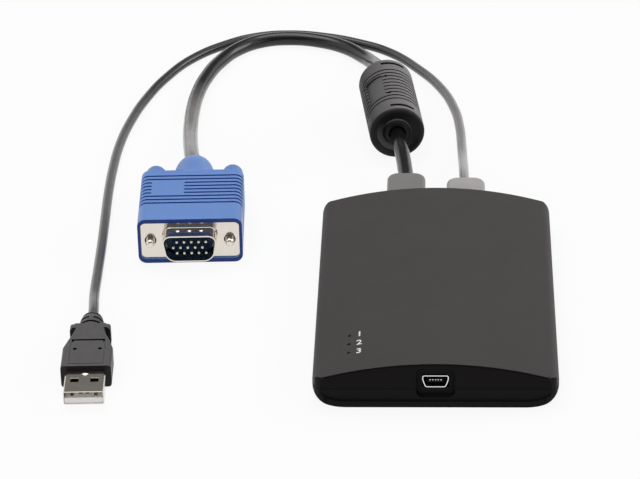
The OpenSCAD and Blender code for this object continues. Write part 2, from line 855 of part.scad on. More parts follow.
// Lead plug that sits in the board socket and stands out behind it
plug_seat_gap = 0.1;
module lead_plug(x, wires) {
    w = header_w(wires) - 2 * header_wall - 2 * plug_seat_gap;
    front_y = header_y + header_wall + plug_seat_gap;
    color(colour_cream) translate([x - w / 2, front_y, board_top + header_wall + plug_seat_gap / 2])
        cube([w, header_l - header_wall + plug_reach, header_h - 2 * header_wall]);
}

lead_plug_back_y = header_y + header_l + plug_seat_gap + plug_reach;
stub_front_y = half_l - wall - flange_t - stub_inside_l;

// Insulated wires fanned from the bundle at the end of a lead to one row at its plug
module lead_wires(from_x, to_x, wires) {
    z_plug = board_top + header_h / 2;
    columns = ceil(wires / wire_rows);
    for (i = [0:wires - 1]) {
        x_near = from_x + (floor(i / wire_rows) - (columns - 1) / 2) * wire_bundle_pitch;
        z_near = gland_z + (i % wire_rows - (wire_rows - 1) / 2) * wire_bundle_pitch;
        x_far = to_x + (i - (wires - 1) / 2) * wire_pitch;
        places = [
            [x_near, stub_front_y, z_near],
            [x_near, stub_front_y - wire_straight_l, z_near],
            [x_far, lead_plug_back_y + wire_straight_l, z_plug],
            [x_far, lead_plug_back_y, z_plug]];
        swept_tube(places, wire_d / 2, wire_sides);
    }
}

module vga_board_socket() {
    board_socket(vga_header_share * board_w, vga_wires);
}

module vga_lead_plug() {
    lead_plug(vga_header_share * board_w, vga_wires);
}

module vga_lead_wires() {
    color([0.6, 0.2, 0.2]) lead_wires(-gland_x, vga_header_share * board_w, vga_wires);
}

module usb_board_socket() {
    board_socket(usb_header_share * board_w, usb_wires);
}

module usb_lead_plug() {
    lead_plug(usb_header_share * board_w, usb_wires);
}

module usb_lead_wires() {
    color([0.3, 0.5, 0.3]) lead_wires(gland_x, usb_header_share * board_w, usb_wires);
}

// Direction of the ferrite and a place on its axis
ferrite_heading = [-sin(ferrite_turn), cos(ferrite_turn), 0];
function ferrite_place(along) = [ferrite_mid.x, ferrite_mid.y, ferrite_z] + along * ferrite_heading;

// Serial plug places, measured back from the tip of its shell
usb_heading = [-sin(usb_turn), cos(usb_turn), 0];
function usb_place(along) = [usb_tip_x, usb_tip_y, usb_shell_z] + along * usb_heading;
usb_relief_end = usb_shell_reach + grip_l + usb_relief_l;

vga_exit = [-gland_x, half_l + vga_gland_l, gland_z];
vga_heading = [-sin(vga_turn), cos(vga_turn), 0];
function vga_place(along) = [vga_x, vga_y, vga_z] + along * vga_heading;
vga_relief_end = hood_l + relief_l;
usb_exit = [gland_x, half_l + usb_gland_l, gland_z];
lead_straight_l = 4;

module vga_cable() {
    places = concat([vga_exit], vga_route_near,
        [ferrite_place(-ferrite_l / 2 - ferrite_lead_l), ferrite_place(-ferrite_l / 2), ferrite_place(0),
            ferrite_place(ferrite_l / 2), ferrite_place(ferrite_l / 2 + ferrite_lead_l)],
        vga_route_far, [vga_place(vga_relief_end + lead_straight_l), vga_place(vga_relief_end)]);
    color(colour_lead) swept_tube(places, vga_d / 2, vga_sides);
}

module usb_cable() {
    bends = concat([usb_exit + [0, lead_straight_l, 0]], usb_route,
        [usb_place(usb_relief_end + lead_straight_l)]);
    places = concat([usb_exit], smooth_route(bends, usb_rings_per_place), [usb_place(usb_relief_end)]);
    color(colour_lead) swept_tube(places, usb_d / 2, usb_sides);
}

// The lengths of each cable that its gland and its plug hold
module vga_cable_ends() {
    color(colour_lead) {
        translate([-gland_x, 0, gland_z]) along_y(stub_front_y, half_l + vga_gland_l) circle(d = vga_d);
        at_vga_plug() along_y(mould_back, hood_l + relief_l) circle(d = vga_d);
    }
}

module usb_cable_ends() {
    color(colour_lead) {
        translate([gland_x, 0, gland_z]) along_y(stub_front_y, half_l + usb_gland_l) circle(d = usb_d);
        at_usb_plug() along_y(usb_shell_l + grip_inner_l, usb_relief_end) circle(d = usb_d);
    }
}

// The ferrite and its cover are drawn round the Z axis and laid along the cable
module at_ferrite() {
    translate(ferrite_place(0)) rotate([0, 0, ferrite_turn]) rotate([-90, 0, 0]) children();
}

module ring_cut(outer_d, depth, w) {
    difference() {
        cylinder(d = outer_d + 2 * overrun, h = w, center = true);
        cylinder(d = outer_d - 2 * depth, h = w + 2 * overrun, center = true);
    }
}

module ferrite_cover() {
    band = (ferrite_grooves - 1) * ferrite_groove_pitch;
    r = ferrite_d / 2;
    color([0.2, 0.19, 0.2]) at_ferrite() difference() {
        rotate_extrude() {
            translate([0, -ferrite_l / 2]) square([r - ferrite_edge_r, ferrite_l]);
            translate([0, ferrite_edge_r - ferrite_l / 2]) square([r, ferrite_l - 2 * ferrite_edge_r]);
            for (y = [-1, 1]) {
                translate([r - ferrite_edge_r, y * (ferrite_l / 2 - ferrite_edge_r)]) circle(ferrite_edge_r);
            }
        }
        difference() {
            for (i = [0:ferrite_grooves - 1]) {
                translate([0, 0, i * ferrite_groove_pitch - band / 2])
                    ring_cut(ferrite_d, ferrite_groove_depth, ferrite_groove_w);
            }
            rotate([0, 0, -ferrite_pad_lean])
                translate([-ferrite_pad_w / 2, -ferrite_d, -ferrite_pad_l / 2])
                    cube([ferrite_pad_w, ferrite_d, ferrite_pad_l]);
        }
        for (end = [-1, 1]) {
            translate([0, 0, end * ferrite_l / 2]) difference() {
                cylinder(d = ferrite_face_d, h = 2 * ferrite_face_depth, center = true);
                cylinder(d = ferrite_collar_d, h = 4 * ferrite_face_depth, center = true);
            }
            for (turn = [0, 120, 240]) {
                translate([0, 0, end * (ferrite_l / 2 - ferrite_slot_y)]) intersection() {
                    ring_cut(ferrite_d, ferrite_slot_depth, ferrite_slot_w);
                    rotate([0, 0, turn]) slot_wedge();
                }
            }
        }
        rotate([0, 0, -ferrite_pad_lean]) for (x = [-1, 1], z = [-1, 1]) {
            translate([x * (ferrite_pad_w / 2 + ferrite_pin_d), 0, z * (ferrite_pad_l / 2 - ferrite_pin_d)])
                rotate([90, 0, 0]) cylinder(d = ferrite_pin_d, h = ferrite_d);
        }
        cylinder(d = ferrite_bore_d, h = 2 * ferrite_l, center = true);
        cylinder(d = core_d + fit_gap, h = core_l + fit_gap, center = true);
    }
}

// Wedge upward from the axis that limits the short slots near the ends of the cover
module slot_wedge() {
    reach = ferrite_d;
    translate([0, 0, -ferrite_slot_w]) linear_extrude(2 * ferrite_slot_w)
        polygon([[0, 0], [-reach * sin(ferrite_slot_span / 2), -reach * cos(ferrite_slot_span / 2)],
            [reach * sin(ferrite_slot_span / 2), -reach * cos(ferrite_slot_span / 2)]]);
}

module ferrite_core() {
    color([0.25, 0.25, 0.27]) at_ferrite() difference() {
        cylinder(d = core_d, h = core_l, center = true);
        cylinder(d = core_bore_d, h = core_l + 2 * overrun, center = true);
    }
}

// Display plug pieces are drawn with the hood's front in the plane Y = 0 and its axis at Z = 0
module at_vga_plug() {
    translate([vga_x, vga_y, vga_z]) rotate([0, 0, vga_turn]) children();
}

module at_jacks() {
    for (x = [-1, 1]) {
        translate([x * jack_span / 2, 0, 0]) children();
    }
}

module strain_relief() {
    taper = arc(relief_end_d / 2, relief_straight_l, (relief_d - relief_end_d) / 2,
        relief_l - relief_straight_l, 0, 90, 8);
    rotate_extrude() polygon(concat([[0, -overrun], [relief_d / 2, -overrun]], taper, [[0, relief_l]]));
}

module vga_hood() {
    color(colour_blue) at_vga_plug() difference() {
        union() {
            along_y(0, hood_l) round_rect(hood_w, hood_h, hood_r);
            translate([0, hood_l, 0]) rotate([-90, 0, 0]) strain_relief();
        }
        difference() {
            for (i = [0:groove_count - 1]) {
                y = groove_front + i * groove_pitch;
                along_y(y, y + groove_w) difference() {
                    square([hood_w + 2 * overrun, hood_h + 2 * overrun], center = true);
                    round_rect(hood_w - 2 * groove_depth, hood_h - 2 * groove_depth, hood_r - groove_depth);
                }
            }
            translate([pad_x - pad_w / 2, pad_y - pad_l / 2, 0]) cube([pad_w, pad_l, hood_h]);
        }
        along_y(-overrun, face_back + fit_gap)
            round_rect(face_w + 2 * fit_gap, face_h + 2 * fit_gap, face_r);
        along_y(0, mould_front + fit_gap)
            square([back_shell_w + 2 * fit_gap, back_shell_h + 2 * fit_gap], center = true);
        along_y(mould_front, mould_back + fit_gap)
            square([inner_mould_w + 2 * fit_gap, inner_mould_h + 2 * fit_gap], center = true);
        along_y(0, hood_l + relief_l + overrun) circle(d = vga_d + fit_gap);
        at_jacks() along_y(0, jack_bore_l) circle(d = jack_hole_d);
        at_jacks() along_y(0, hood_l + overrun) circle(d = jack_neck_d + 2 * running_gap);
    }
}

dimple_d = 1.4;
dimple_depth = 0.25;
dimple_pitch = 3.7;
dimple_y_share = 0.45;
shell_root_l = 0.7;
shell_root_t = 0.5;
module vga_face_shell() {
    outer_w = dshell_w + 2 * sheet_t;
    outer_h = dshell_h + 2 * sheet_t;
    outer_r = dshell_r + sheet_t;
    root_w = outer_w + 2 * shell_root_t;
    root_h = outer_h + 2 * shell_root_t;
    color(colour_steel) at_vga_plug() difference() {
        union() {
            along_y(face_inset, face_back) round_rect(face_w, face_h, face_r);
            along_y(dshell_front, face_back) polygon(dshell_outline(outer_w, outer_h, outer_r));
            along_y(face_inset - shell_root_l, face_back)
                polygon(dshell_outline(root_w, root_h, outer_r + shell_root_t));
        }
        along_y(dshell_front - overrun, face_back + overrun)
            polygon(dshell_outline(dshell_w, dshell_h, dshell_r));
        at_jacks() along_y(0, face_back + overrun) circle(d = jack_hole_d);
        for (i = [-1:1]) {
            translate([i * dimple_pitch, face_inset - dshell_reach * dimple_y_share, outer_h / 2])
                translate([0, 0, dimple_d / 2 - dimple_depth]) sphere(d = dimple_d);
        }
    }
}

module vga_back_shell() {
    color(colour_steel) at_vga_plug() difference() {
        along_y(face_back, mould_front) square([back_shell_w, back_shell_h], center = true);
        along_y(face_inset, mould_front + overrun) polygon(dshell_outline(dshell_w, dshell_h, dshell_r));
    }
}

module vga_insert() {
    color([0.05, 0.12, 0.3]) at_vga_plug() difference() {
        along_y(face_inset - insert_out, mould_front) polygon(dshell_outline(insert_w, insert_h, dshell_r));
        at_pins() along_y(-dshell_reach, hood_l) circle(d = pin_d + fit_gap);
    }
}

module at_pins() {
    for (row = [-1:1], i = [-2:2]) {
        translate([i * pin_pitch + (abs(row) - 0.5) * pin_pitch / 2, 0, row * pin_row]) children();
    }
}

module vga_pins() {
    front = dshell_front + pin_recess + pin_d / 2;
    color(colour_gold) at_vga_plug() at_pins() translate([0, front, 0]) rotate([-90, 0, 0]) {
        cylinder(d = pin_d, h = mould_front + pin_cup_l - front, $fn = 24);
        sphere(d = pin_d, $fn = 24);
    }
}

// Block moulded over the backs of the pins and the end of the cable
module vga_inner_mould() {
    color([0.85, 0.85, 0.8]) at_vga_plug() difference() {
        along_y(mould_front, mould_back) square([inner_mould_w, inner_mould_h], center = true);
        at_pins() along_y(mould_front - overrun, mould_front + pin_cup_l + fit_gap) circle(d = pin_d + fit_gap);
    }
}

module jackscrew() {
    front = -jack_reach;
    back = hood_l + knob_seat_gap;
    rotate([-90, 0, 0]) difference() {
        union() {
            translate([0, 0, front + jack_d / 4]) cylinder(d = jack_d, h = jack_thread_l - jack_d / 4);
            translate([0, 0, front]) cylinder(d1 = jack_d / 2, d2 = jack_d, h = jack_d / 4);
            translate([0, 0, front]) cylinder(d = jack_neck_d, h = back - front + jack_tail_l);
        }
        translate([-driver_slot_l, -driver_slot_w / 2, front - overrun])
            cube([2 * driver_slot_l, driver_slot_w, driver_slot_h + overrun]);
    }
}

// Knob moulded on the tail of a jackscrew, with a domed end and shallow flutes
module knob() {
    dome_h = knob_d / 4;
    translate([0, hood_l + knob_seat_gap, 0]) rotate([-90, 0, 0]) difference() {
        rotate_extrude() {
            square([knob_d / 2, knob_l - dome_h]);
            polygon(concat([[0, 0]], arc(0, knob_l - dome_h, knob_d / 2, dome_h, 0, 90, 8)));
        }
        for (i = [0:knob_flutes - 1]) {
            rotate([0, 0, i * 360 / knob_flutes]) translate([knob_d / 2 + flute_d / 4, 0, flute_d])
                cylinder(d = flute_d, h = knob_l, $fn = 24);
        }
        translate([0, 0, -overrun]) cylinder(d = jack_neck_d + 2 * running_gap, h = jack_tail_l + overrun);
    }
}

module left_jackscrew() {
    color(colour_steel) at_vga_plug() translate([-jack_span / 2, 0, 0]) jackscrew();
}

module left_knob() {
    color(colour_blue) at_vga_plug() translate([-jack_span / 2, 0, 0]) knob();
}

module right_jackscrew() {
    color(colour_steel) at_vga_plug() translate([jack_span / 2, 0, 0]) jackscrew();
}

module right_knob() {
    color(colour_blue) at_vga_plug() translate([jack_span / 2, 0, 0]) knob();
}

// Serial plug pieces are drawn with the tip of the shell in the plane Y = 0 and its axis at Z = 0
module at_usb_plug() {
    translate([usb_tip_x, usb_tip_y, usb_shell_z]) rotate([0, 0, usb_turn]) children();
}

module usb_plug_shell() {
    inner = usb_shell_h - 2 * usb_sheet;
    color(colour_steel) at_usb_plug() difference() {
        along_y(0, usb_shell_l) round_rect(usb_shell_w, usb_shell_h, 2 * usb_sheet);
        along_y(-overrun, usb_shell_l + overrun) round_rect(usb_shell_w - 2 * usb_sheet, inner, usb_sheet);
        for (x = [-1, 1]) {
            translate([x * usb_window_x - usb_window_w / 2, usb_window_y - usb_window_l / 2, -usb_shell_h])
                cube([usb_window_w, usb_window_l, 2 * usb_shell_h]);
        }
    }
}

module usb_plug_tongue() {
    w = usb_shell_w - 2 * usb_sheet - fit_gap;
    low = usb_sheet - usb_shell_h / 2 + fit_gap / 2;
    color(colour_cream) at_usb_plug() {
        translate([0, 0, low + usb_tongue_t / 2]) along_y(usb_tongue_gap, usb_shell_l)
            round_rect(w, usb_tongue_t, usb_sheet);
        along_y(usb_shell_reach, usb_shell_l)
            round_rect(w, usb_shell_h - 2 * usb_sheet - fit_gap, usb_sheet);
    }
}

module usb_plug_contacts() {
    top = usb_sheet - usb_shell_h / 2 + fit_gap / 2 + usb_tongue_t;
    color(colour_gold) at_usb_plug() for (side = [-1, 1], x = [usb_contact_near, usb_contact_far]) {
        translate([side * x - usb_contact_w / 2, usb_shell_reach - usb_contact_l, top])
            cube([usb_contact_w, usb_contact_l, usb_contact_t]);
    }
}

module usb_plug_inner_mould() {
    color(colour_cream) at_usb_plug() along_y(usb_shell_l, usb_shell_l + grip_inner_l)
        square([grip_neck_end_w - 2 * grip_step, usb_shell_h], center = true);
}

// Plan of the moulded grip: full width in front, drawn in to a neck, with a wide flange at the back
function grip_outline() = let(
    neck_y = grip_front_l + grip_shoulder_l,
    flange_y = grip_l - grip_flange_l,
    right = [[grip_w / 2, 0], [grip_w / 2, grip_front_l], [grip_neck_w / 2, neck_y],
        [grip_neck_end_w / 2, flange_y], [grip_flange_w / 2, flange_y], [grip_flange_w / 2, grip_l]])
    concat(right, mirrored(right));

module usb_plug_grip() {
    color(colour_black) at_usb_plug() difference() {
        union() {
            translate([0, usb_shell_reach, 0]) intersection() {
                translate([0, 0, -grip_h]) linear_extrude(2 * grip_h) polygon(grip_outline());
                along_y(0, grip_l) round_rect(grip_w, grip_h, grip_r);
            }
            translate([0, usb_shell_reach + grip_l, 0]) rotate([-90, 0, 0]) {
                cylinder(d = ring_core_d, h = usb_relief_l);
                for (i = [0:ring_count - 1]) {
                    translate([0, 0, i * ring_pitch]) cylinder(d = ring_d - i * ring_shrink, h = ring_w);
                }
            }
        }
        along_y(0, usb_shell_l + fit_gap)
            square([usb_shell_w + fit_gap, usb_shell_h + fit_gap], center = true);
        along_y(0, usb_shell_l + grip_inner_l + fit_gap)
            square([grip_neck_end_w - 2 * grip_step + fit_gap, usb_shell_h + fit_gap], center = true);
        along_y(0, usb_relief_end + overrun) circle(d = usb_d + fit_gap);
    }
}

top_cover();
bottom_cover();
case_screws();
main_board();
video_chip();
usb_chip();
memory_chip();
flash_chip();
regulator();
power_inductor();
crystals();
filter_capacitors();
chip_capacitors();
chip_resistors();
status_leds();
mini_usb_shell();
mini_usb_tongue();
mini_usb_contacts();
vga_gland();
usb_gland();
vga_board_socket();
vga_lead_plug();
vga_lead_wires();
usb_board_socket();
usb_lead_plug();
usb_lead_wires();
vga_cable();
vga_cable_ends();
ferrite_cover();
ferrite_core();
vga_hood();
vga_face_shell();
vga_back_shell();
vga_insert();
vga_pins();
vga_inner_mould();
left_jackscrew();
left_knob();
right_jackscrew();
right_knob();
usb_cable();
usb_cable_ends();
usb_plug_grip();
usb_plug_shell();
usb_plug_tongue();
usb_plug_contacts();
usb_plug_inner_mould();
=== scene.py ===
import json
import math

import bmesh
import bpy
from mathutils import Matrix, Vector

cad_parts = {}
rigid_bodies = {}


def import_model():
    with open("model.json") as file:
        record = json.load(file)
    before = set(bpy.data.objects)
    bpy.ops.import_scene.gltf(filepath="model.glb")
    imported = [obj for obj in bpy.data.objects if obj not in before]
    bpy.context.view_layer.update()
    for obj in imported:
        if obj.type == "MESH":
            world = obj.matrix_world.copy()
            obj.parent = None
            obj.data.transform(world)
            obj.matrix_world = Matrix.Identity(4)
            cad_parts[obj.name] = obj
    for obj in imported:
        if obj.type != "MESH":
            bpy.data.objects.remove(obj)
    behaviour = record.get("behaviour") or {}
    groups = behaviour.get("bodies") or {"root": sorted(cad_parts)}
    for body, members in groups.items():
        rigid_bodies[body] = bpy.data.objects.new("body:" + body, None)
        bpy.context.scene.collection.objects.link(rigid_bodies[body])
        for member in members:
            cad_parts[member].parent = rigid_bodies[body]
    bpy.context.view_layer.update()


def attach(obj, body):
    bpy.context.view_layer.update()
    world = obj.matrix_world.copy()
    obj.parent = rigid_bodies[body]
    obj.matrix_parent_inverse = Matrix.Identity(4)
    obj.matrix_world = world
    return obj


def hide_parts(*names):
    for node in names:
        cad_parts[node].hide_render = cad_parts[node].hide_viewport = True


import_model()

# The camera stands in front of the adapter and above it, looking down at 30 degrees through a long
# lens, as it did for the photograph.
MM = 0.001
PHOTO_WIDTH_PX = 640
FOCAL_PX = 3150
SENSOR_MM = 36
CASE_AXIS_PX = 441
CAMERA_PLACE = (1.6, -826.7, 503.4)
LOOK_DOWN = math.radians(30)
bpy.ops.object.select_all(action="DESELECT")
look_down = Matrix.Rotation(math.pi / 2 - LOOK_DOWN, 4, "X")
look_left = Matrix.Rotation(math.atan((CASE_AXIS_PX - PHOTO_WIDTH_PX / 2) / FOCAL_PX), 4, "Y")
bpy.ops.object.camera_add(
    location=Vector(CAMERA_PLACE) * MM, rotation=(look_down @ look_left).to_euler()
)
camera = bpy.context.object
camera.data.sensor_width = SENSOR_MM
camera.data.lens = SENSOR_MM * FOCAL_PX / PHOTO_WIDTH_PX
camera.data.clip_start = 0.05
camera.data.clip_end = 50
bpy.context.scene.camera = camera
bpy.context.scene.view_settings.view_transform = "Standard"


# The two leads are round vinyl cables. The thick one carries the picture, the thin one the serial
# bus. Both lie on the table in a wide bend behind the case, and come out of moulded glands. Pale
# stretches of painted sheen in the vinyl's colour stand in for reflections of the lamps.
class Wire:
    """The output of a shader node. Sums, differences and products of wires add Math nodes."""

    def __init__(self, tree, socket):
        self.tree = tree
        self.socket = socket

    def maths(self, operation, first, second):
        node = self.tree.nodes.new("ShaderNodeMath")
        node.operation = operation
        for entry, value in zip(node.inputs, (first, second)):
            plug_in(self.tree, entry, value)
        return Wire(self.tree, node.outputs[0])

    def __add__(self, other):
        return self.maths("ADD", self, other)

    def __sub__(self, other):
        return self.maths("SUBTRACT", self, other)

    def __rsub__(self, other):
        return self.maths("SUBTRACT", other, self)

    def __mul__(self, other):
        return self.maths("MULTIPLY", self, other)

    def __gt__(self, other):
        return self.maths("GREATER_THAN", self, other)

    def __lt__(self, other):
        return self.maths("LESS_THAN", self, other)

    __radd__ = __add__


def plug_in(tree, entry, value):
    if isinstance(value, Wire):
        tree.links.new(value.socket, entry)
    elif entry.type == "RGBA":
        entry.default_value = (*value, 1)
    else:
        entry.default_value = value


class Finish:
    """A material: one Principled shader and the nodes that feed it, in the object's own place."""

    def __init__(self, name, colour, roughness, **fixed):
        self.material = bpy.data.materials.new(name)
        self.material.use_nodes = True
        self.tree = self.material.node_tree
        self.shader = self.tree.nodes["Principled BSDF"]
        self.place = self.node("ShaderNodeTexCoord", pick="Object")
        self.feed("Base Color", colour)
        self.feed("Roughness", roughness)
        for entry, value in fixed.items():
            self.feed(entry.replace("_", " "), value)

    def node(self, kind, settings=None, values=None, pick=0):
        node = self.tree.nodes.new(kind)
        for name, value in (settings or {}).items():
            setattr(node, name, value)
        for entry, value in (values or {}).items():
            plug_in(self.tree, node.inputs[entry], value)
        return Wire(self.tree, node.outputs[pick])

    def feed(self, entry, value):
        plug_in(self.tree, self.shader.inputs[entry], value)

    def noise(self, size, detail=2, stretch=(1, 1, 1)):
        """Noise from 0 to 1, whose patches are about size metres across."""
        place = self.node("ShaderNodeMapping", values={"Vector": self.place, "Scale": stretch})
        values = {"Vector": place, "Scale": 1 / size, "Detail": detail}
        return self.node("ShaderNodeTexNoise", values=values)

    def blend(self, low, high, amount):
        values = {0: amount, 6: low, 7: high}
        return self.node("ShaderNodeMix", {"data_type": "RGBA"}, values, pick=2)

    def rises(self, value, low, high):
        """0 below low, 1 above high, and even between."""
        return self.node("ShaderNodeMapRange", values={0: value, 1: low, 2: high})

    def part_of(self, source, axis):
        return self.node("ShaderNodeSeparateXYZ", values={0: source}, pick=axis)

    def facing(self, axis, normal="Normal"):
        """How far the surface faces along an axis, from -1 to 1."""
        return self.part_of(self.node("ShaderNodeNewGeometry", pick=normal), axis)

    def raise_surface(self, height, distance, strength=1.0):
        values = {"Height": height, "Distance": distance, "Strength": strength}
        self.feed("Normal", self.node("ShaderNodeBump", values=values))


def moulded(name, colour, roughness, grain=0.25 * MM, depth=0.02 * MM, mottle=0.12, **fixed):
    """Moulded plastic: a fine spark-eroded grain, faint flow marks and a little handling wear."""
    finish = Finish(name, colour, roughness, **fixed)
    flow = finish.noise(9 * MM, 3)
    dark = [c * (1 - mottle) for c in colour]
    light = [min(1, c * (1 + mottle)) for c in colour]
    finish.feed("Base Color", finish.blend(dark, light, flow))
    finish.feed("Roughness", roughness + (finish.noise(3 * MM, 4) - 0.5) * 0.14)
    finish.raise_surface(finish.noise(grain, 3), depth)
    return finish


def drawn_cable(name, colour, roughness, **fixed):
    """Extruded vinyl: smooth, with faint long ripples from the strands inside it."""
    finish = moulded(name, colour, roughness, grain=0.6 * MM, depth=0.01 * MM, mottle=0.2, **fixed)
    ripple = finish.noise(2.2 * MM, 2) * 0.7 + finish.noise(0.5 * MM, 2) * 0.3
    finish.raise_surface(ripple, 0.12 * MM, 0.5)
    return finish


def dress(piece, finish, body, slot, *nodes):
    """Gives a finished piece its material and its body, and hides the CAD nodes it stands for.
    The slot is not used.
    """
    piece.data.materials.clear()
    piece.data.materials.append(finish.material)
    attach(piece, body)
    if nodes:
        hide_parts(*nodes)


def lay_cable(name, places, diameter):
    """A round cable whose centreline is one smooth spline through places, in millimetres."""
    line = bpy.data.curves.new(name, "CURVE")
    line.dimensions = "3D"
    line.bevel_depth = diameter / 2
    line.bevel_resolution = 7
    line.resolution_u = 10
    line.use_fill_caps = True
    spline = line.splines.new("BEZIER")
    spline.bezier_points.add(len(places) - 1)
    for point, place in zip(spline.bezier_points, places):
        point.co = Vector(place) * MM
        point.handle_left_type = point.handle_right_type = "AUTO"
    cable = bpy.data.objects.new(name, line)
    bpy.context.scene.collection.objects.link(cable)
    return cable


VGA_CABLE_D = 5 * MM
USB_CABLE_D = 3.2 * MM
VGA_EXIT = (-9.6, 69.4, 7.5)
USB_EXIT = (9.6, 66.4, 7.5)
VGA_PLUG_END = (-79.3, 79.47, 7.9)
USB_PLUG_END = (-104.537, -9.977, 3.7)
FERRITE_MID = Vector((-15.2, 118.4, 9.2))
FERRITE_TURN = 7
FERRITE_HALF = 18.75
CABLE_STRAIGHT = 6
turn = math.radians(FERRITE_TURN)
ferrite_heading = Vector((-math.sin(turn), math.cos(turn), 0))
straight_end = FERRITE_HALF + CABLE_STRAIGHT
straight_alongs = (-straight_end, -FERRITE_HALF, 0, FERRITE_HALF, straight_end)
vga_places = [
    VGA_EXIT, (-9.8, 73, 7.5), (-10.1, 77, 7.7), (-11, 86, 8.3),
    *[FERRITE_MID + ferrite_heading * along for along in straight_alongs],
    (-19.9, 153, 6.8), (-22, 161, 4.4), (-26, 169.8, 2.8), (-33, 178, 2.5), (-42, 182.9, 2.5),
    (-52.4, 184.8, 2.5), (-62, 183, 2.5), (-70, 177, 2.5), (-76.2, 166.8, 2.5), (-80.4, 154.4, 2.5),
    (-82.8, 140.6, 2.5), (-83.5, 128.3, 2.5), (-83.4, 119, 2.7), (-83, 110, 3.4), (-82.3, 102, 4.6),
    (-81.6, 95, 5.9), (-80.8, 88.4, 7.1), (-79.9, 83.2, 7.75), VGA_PLUG_END,
]
usb_places = [
    USB_EXIT, (9.4, 69, 7.5), (9.2, 72.5, 7.2), (9.1, 77, 6.6), (9, 85, 4.8), (8.8, 95, 2.6),
    (8.5, 106, 1.75), (8, 118, 1.62), (6.2, 132, 1.6), (1.6, 147.4, 1.6), (-6, 161.6, 1.6),
    (-17, 175.6, 1.6), (-28, 182.8, 1.6), (-40, 187.6, 1.6), (-52.4, 189.7, 1.6),
    (-64.6, 187.8, 1.6), (-75.4, 181.6, 1.6), (-86.6, 170.4, 1.6), (-94.6, 156, 1.6),
    (-100.2, 140.6, 1.6), (-104.2, 124, 1.6), (-106.6, 106.8, 1.6), (-107.4, 89.6, 1.6),
    (-107.4, 72.4, 1.6), (-106.9, 55.4, 1.6), (-106.4, 38.4, 1.6), (-106.1, 21.4, 1.6),
    (-105.8, 8, 1.9), (-104.677, -5.979, 3.7), USB_PLUG_END,
]
SHEEN_START_X = -60 * MM
SHEEN_FADE_Y = (126 * MM, 148 * MM)
PLUG_FADE_X = (-107 * MM, -98 * MM)
CASE_FADE_X = (-20 * MM, 10 * MM)
sheen = {"Specular_IOR_Level": 0.2, "Coat_Weight": 0.6, "Coat_Roughness": 0.14}
cable_vinyl = drawn_cable("black_cable_vinyl", (0.012, 0.011, 0.012), 0.25, **sheen)
along_x, along_y = (cable_vinyl.part_of(cable_vinyl.place, axis) for axis in (0, 1))
# Painted sheen: the display cable is painted pale grey where it runs down to its plug.
painted_sheen_mask = (along_x < SHEEN_START_X) * (1 - cable_vinyl.rises(along_y, *SHEEN_FADE_Y))
painted_sheen_colour = cable_vinyl.blend((0.18, 0.172, 0.168), (0.27, 0.258, 0.25), cable_vinyl.noise(5 * MM, 3))
cable_vinyl.feed("Base Color", cable_vinyl.blend((0.008, 0.007, 0.008), painted_sheen_colour, painted_sheen_mask))
thin_vinyl = drawn_cable("grey_cable_vinyl", (0.06, 0.058, 0.06), 0.3, **sheen)
along_x = thin_vinyl.part_of(thin_vinyl.place, 0)
# Painted sheen: the serial cable is painted paler grey near its plug, and palest near the case.
# bare ends up holding that painted sheen too.
near_plug = 1 - thin_vinyl.rises(along_x, *PLUG_FADE_X)
near_case = thin_vinyl.rises(along_x, *CASE_FADE_X)
streaks = thin_vinyl.noise(4 * MM, 3)
bare = thin_vinyl.blend((0.025, 0.024, 0.025), (0.048, 0.046, 0.047), streaks)
thin_painted_sheen = thin_vinyl.blend((0.12, 0.115, 0.112), (0.19, 0.182, 0.178), streaks)
bare = thin_vinyl.blend(bare, thin_painted_sheen, near_plug)
thin_vinyl.feed("Base Color", thin_vinyl.blend(bare, (0.31, 0.296, 0.296), near_case))
vga_cable = lay_cable("vga_cable_run", vga_places, VGA_CABLE_D)
dress(vga_cable, cable_vinyl, "adapter", "cable", "vga_cable")
usb_cable = lay_cable("usb_cable_run", usb_places, USB_CABLE_D)
dress(usb_cable, thin_vinyl, "adapter", "cable", "usb_cable")

# The studio is a white table under one wide softbox, with a smaller one to the right, a soft fill
# from the front and an even white surround. The walls behind and before the table are dimmer, and
# the polished tops mirror them.
TABLE_SIZE = 8
TABLE_GREY = (0.5, 0.5, 0.5)
TABLE_SEEN = (0.97, 0.97, 0.97)
SEEN_GLOW = 0.9
MIRRORED_GLOW = 0.88
bpy.ops.mesh.primitive_plane_add(size=TABLE_SIZE)
table = bpy.context.object
table.name = "table_top"
table_white = Finish("table_white", TABLE_GREY, 0.9)
seen = table_white.node("ShaderNodeLightPath", pick="Is Camera Ray")
mirrored = table_white.node("ShaderNodeLightPath", pick="Is Glossy Ray")
table_white.feed("Base Color", table_white.blend(TABLE_GREY, TABLE_SEEN, seen))
glow = table_white.node("ShaderNodeEmission", values={"Color": (1, 1, 1), "Strength": 1.0})
base = Wire(table_white.tree, table_white.shader.outputs[0])
shown = seen * SEEN_GLOW + mirrored * MIRRORED_GLOW
mixed = table_white.node("ShaderNodeMixShader", values={0: shown, 1: base, 2: glow})
output = table_white.tree.nodes["Material Output"]
table_white.tree.links.new(mixed.socket, output.inputs["Surface"])
table.data.materials.append(table_white.material)

SURROUND_LIGHT = 0.26
DIM_WALL = 0.82
DIM_FRONT = 0.9
world = bpy.data.worlds.new("white_surround")
bpy.context.scene.world = world
world.use_nodes = True
surround = world.node_tree


def surround_node(kind, values=None, pick=0):
    node = surround.nodes.new(kind)
    for entry, value in (values or {}).items():
        plug_in(surround, node.inputs[entry], value)
    return Wire(surround, node.outputs[pick])


def rises(value, low, high):
    return surround_node("ShaderNodeMapRange", {0: value, 1: low, 2: high, 3: 0, 4: 1})


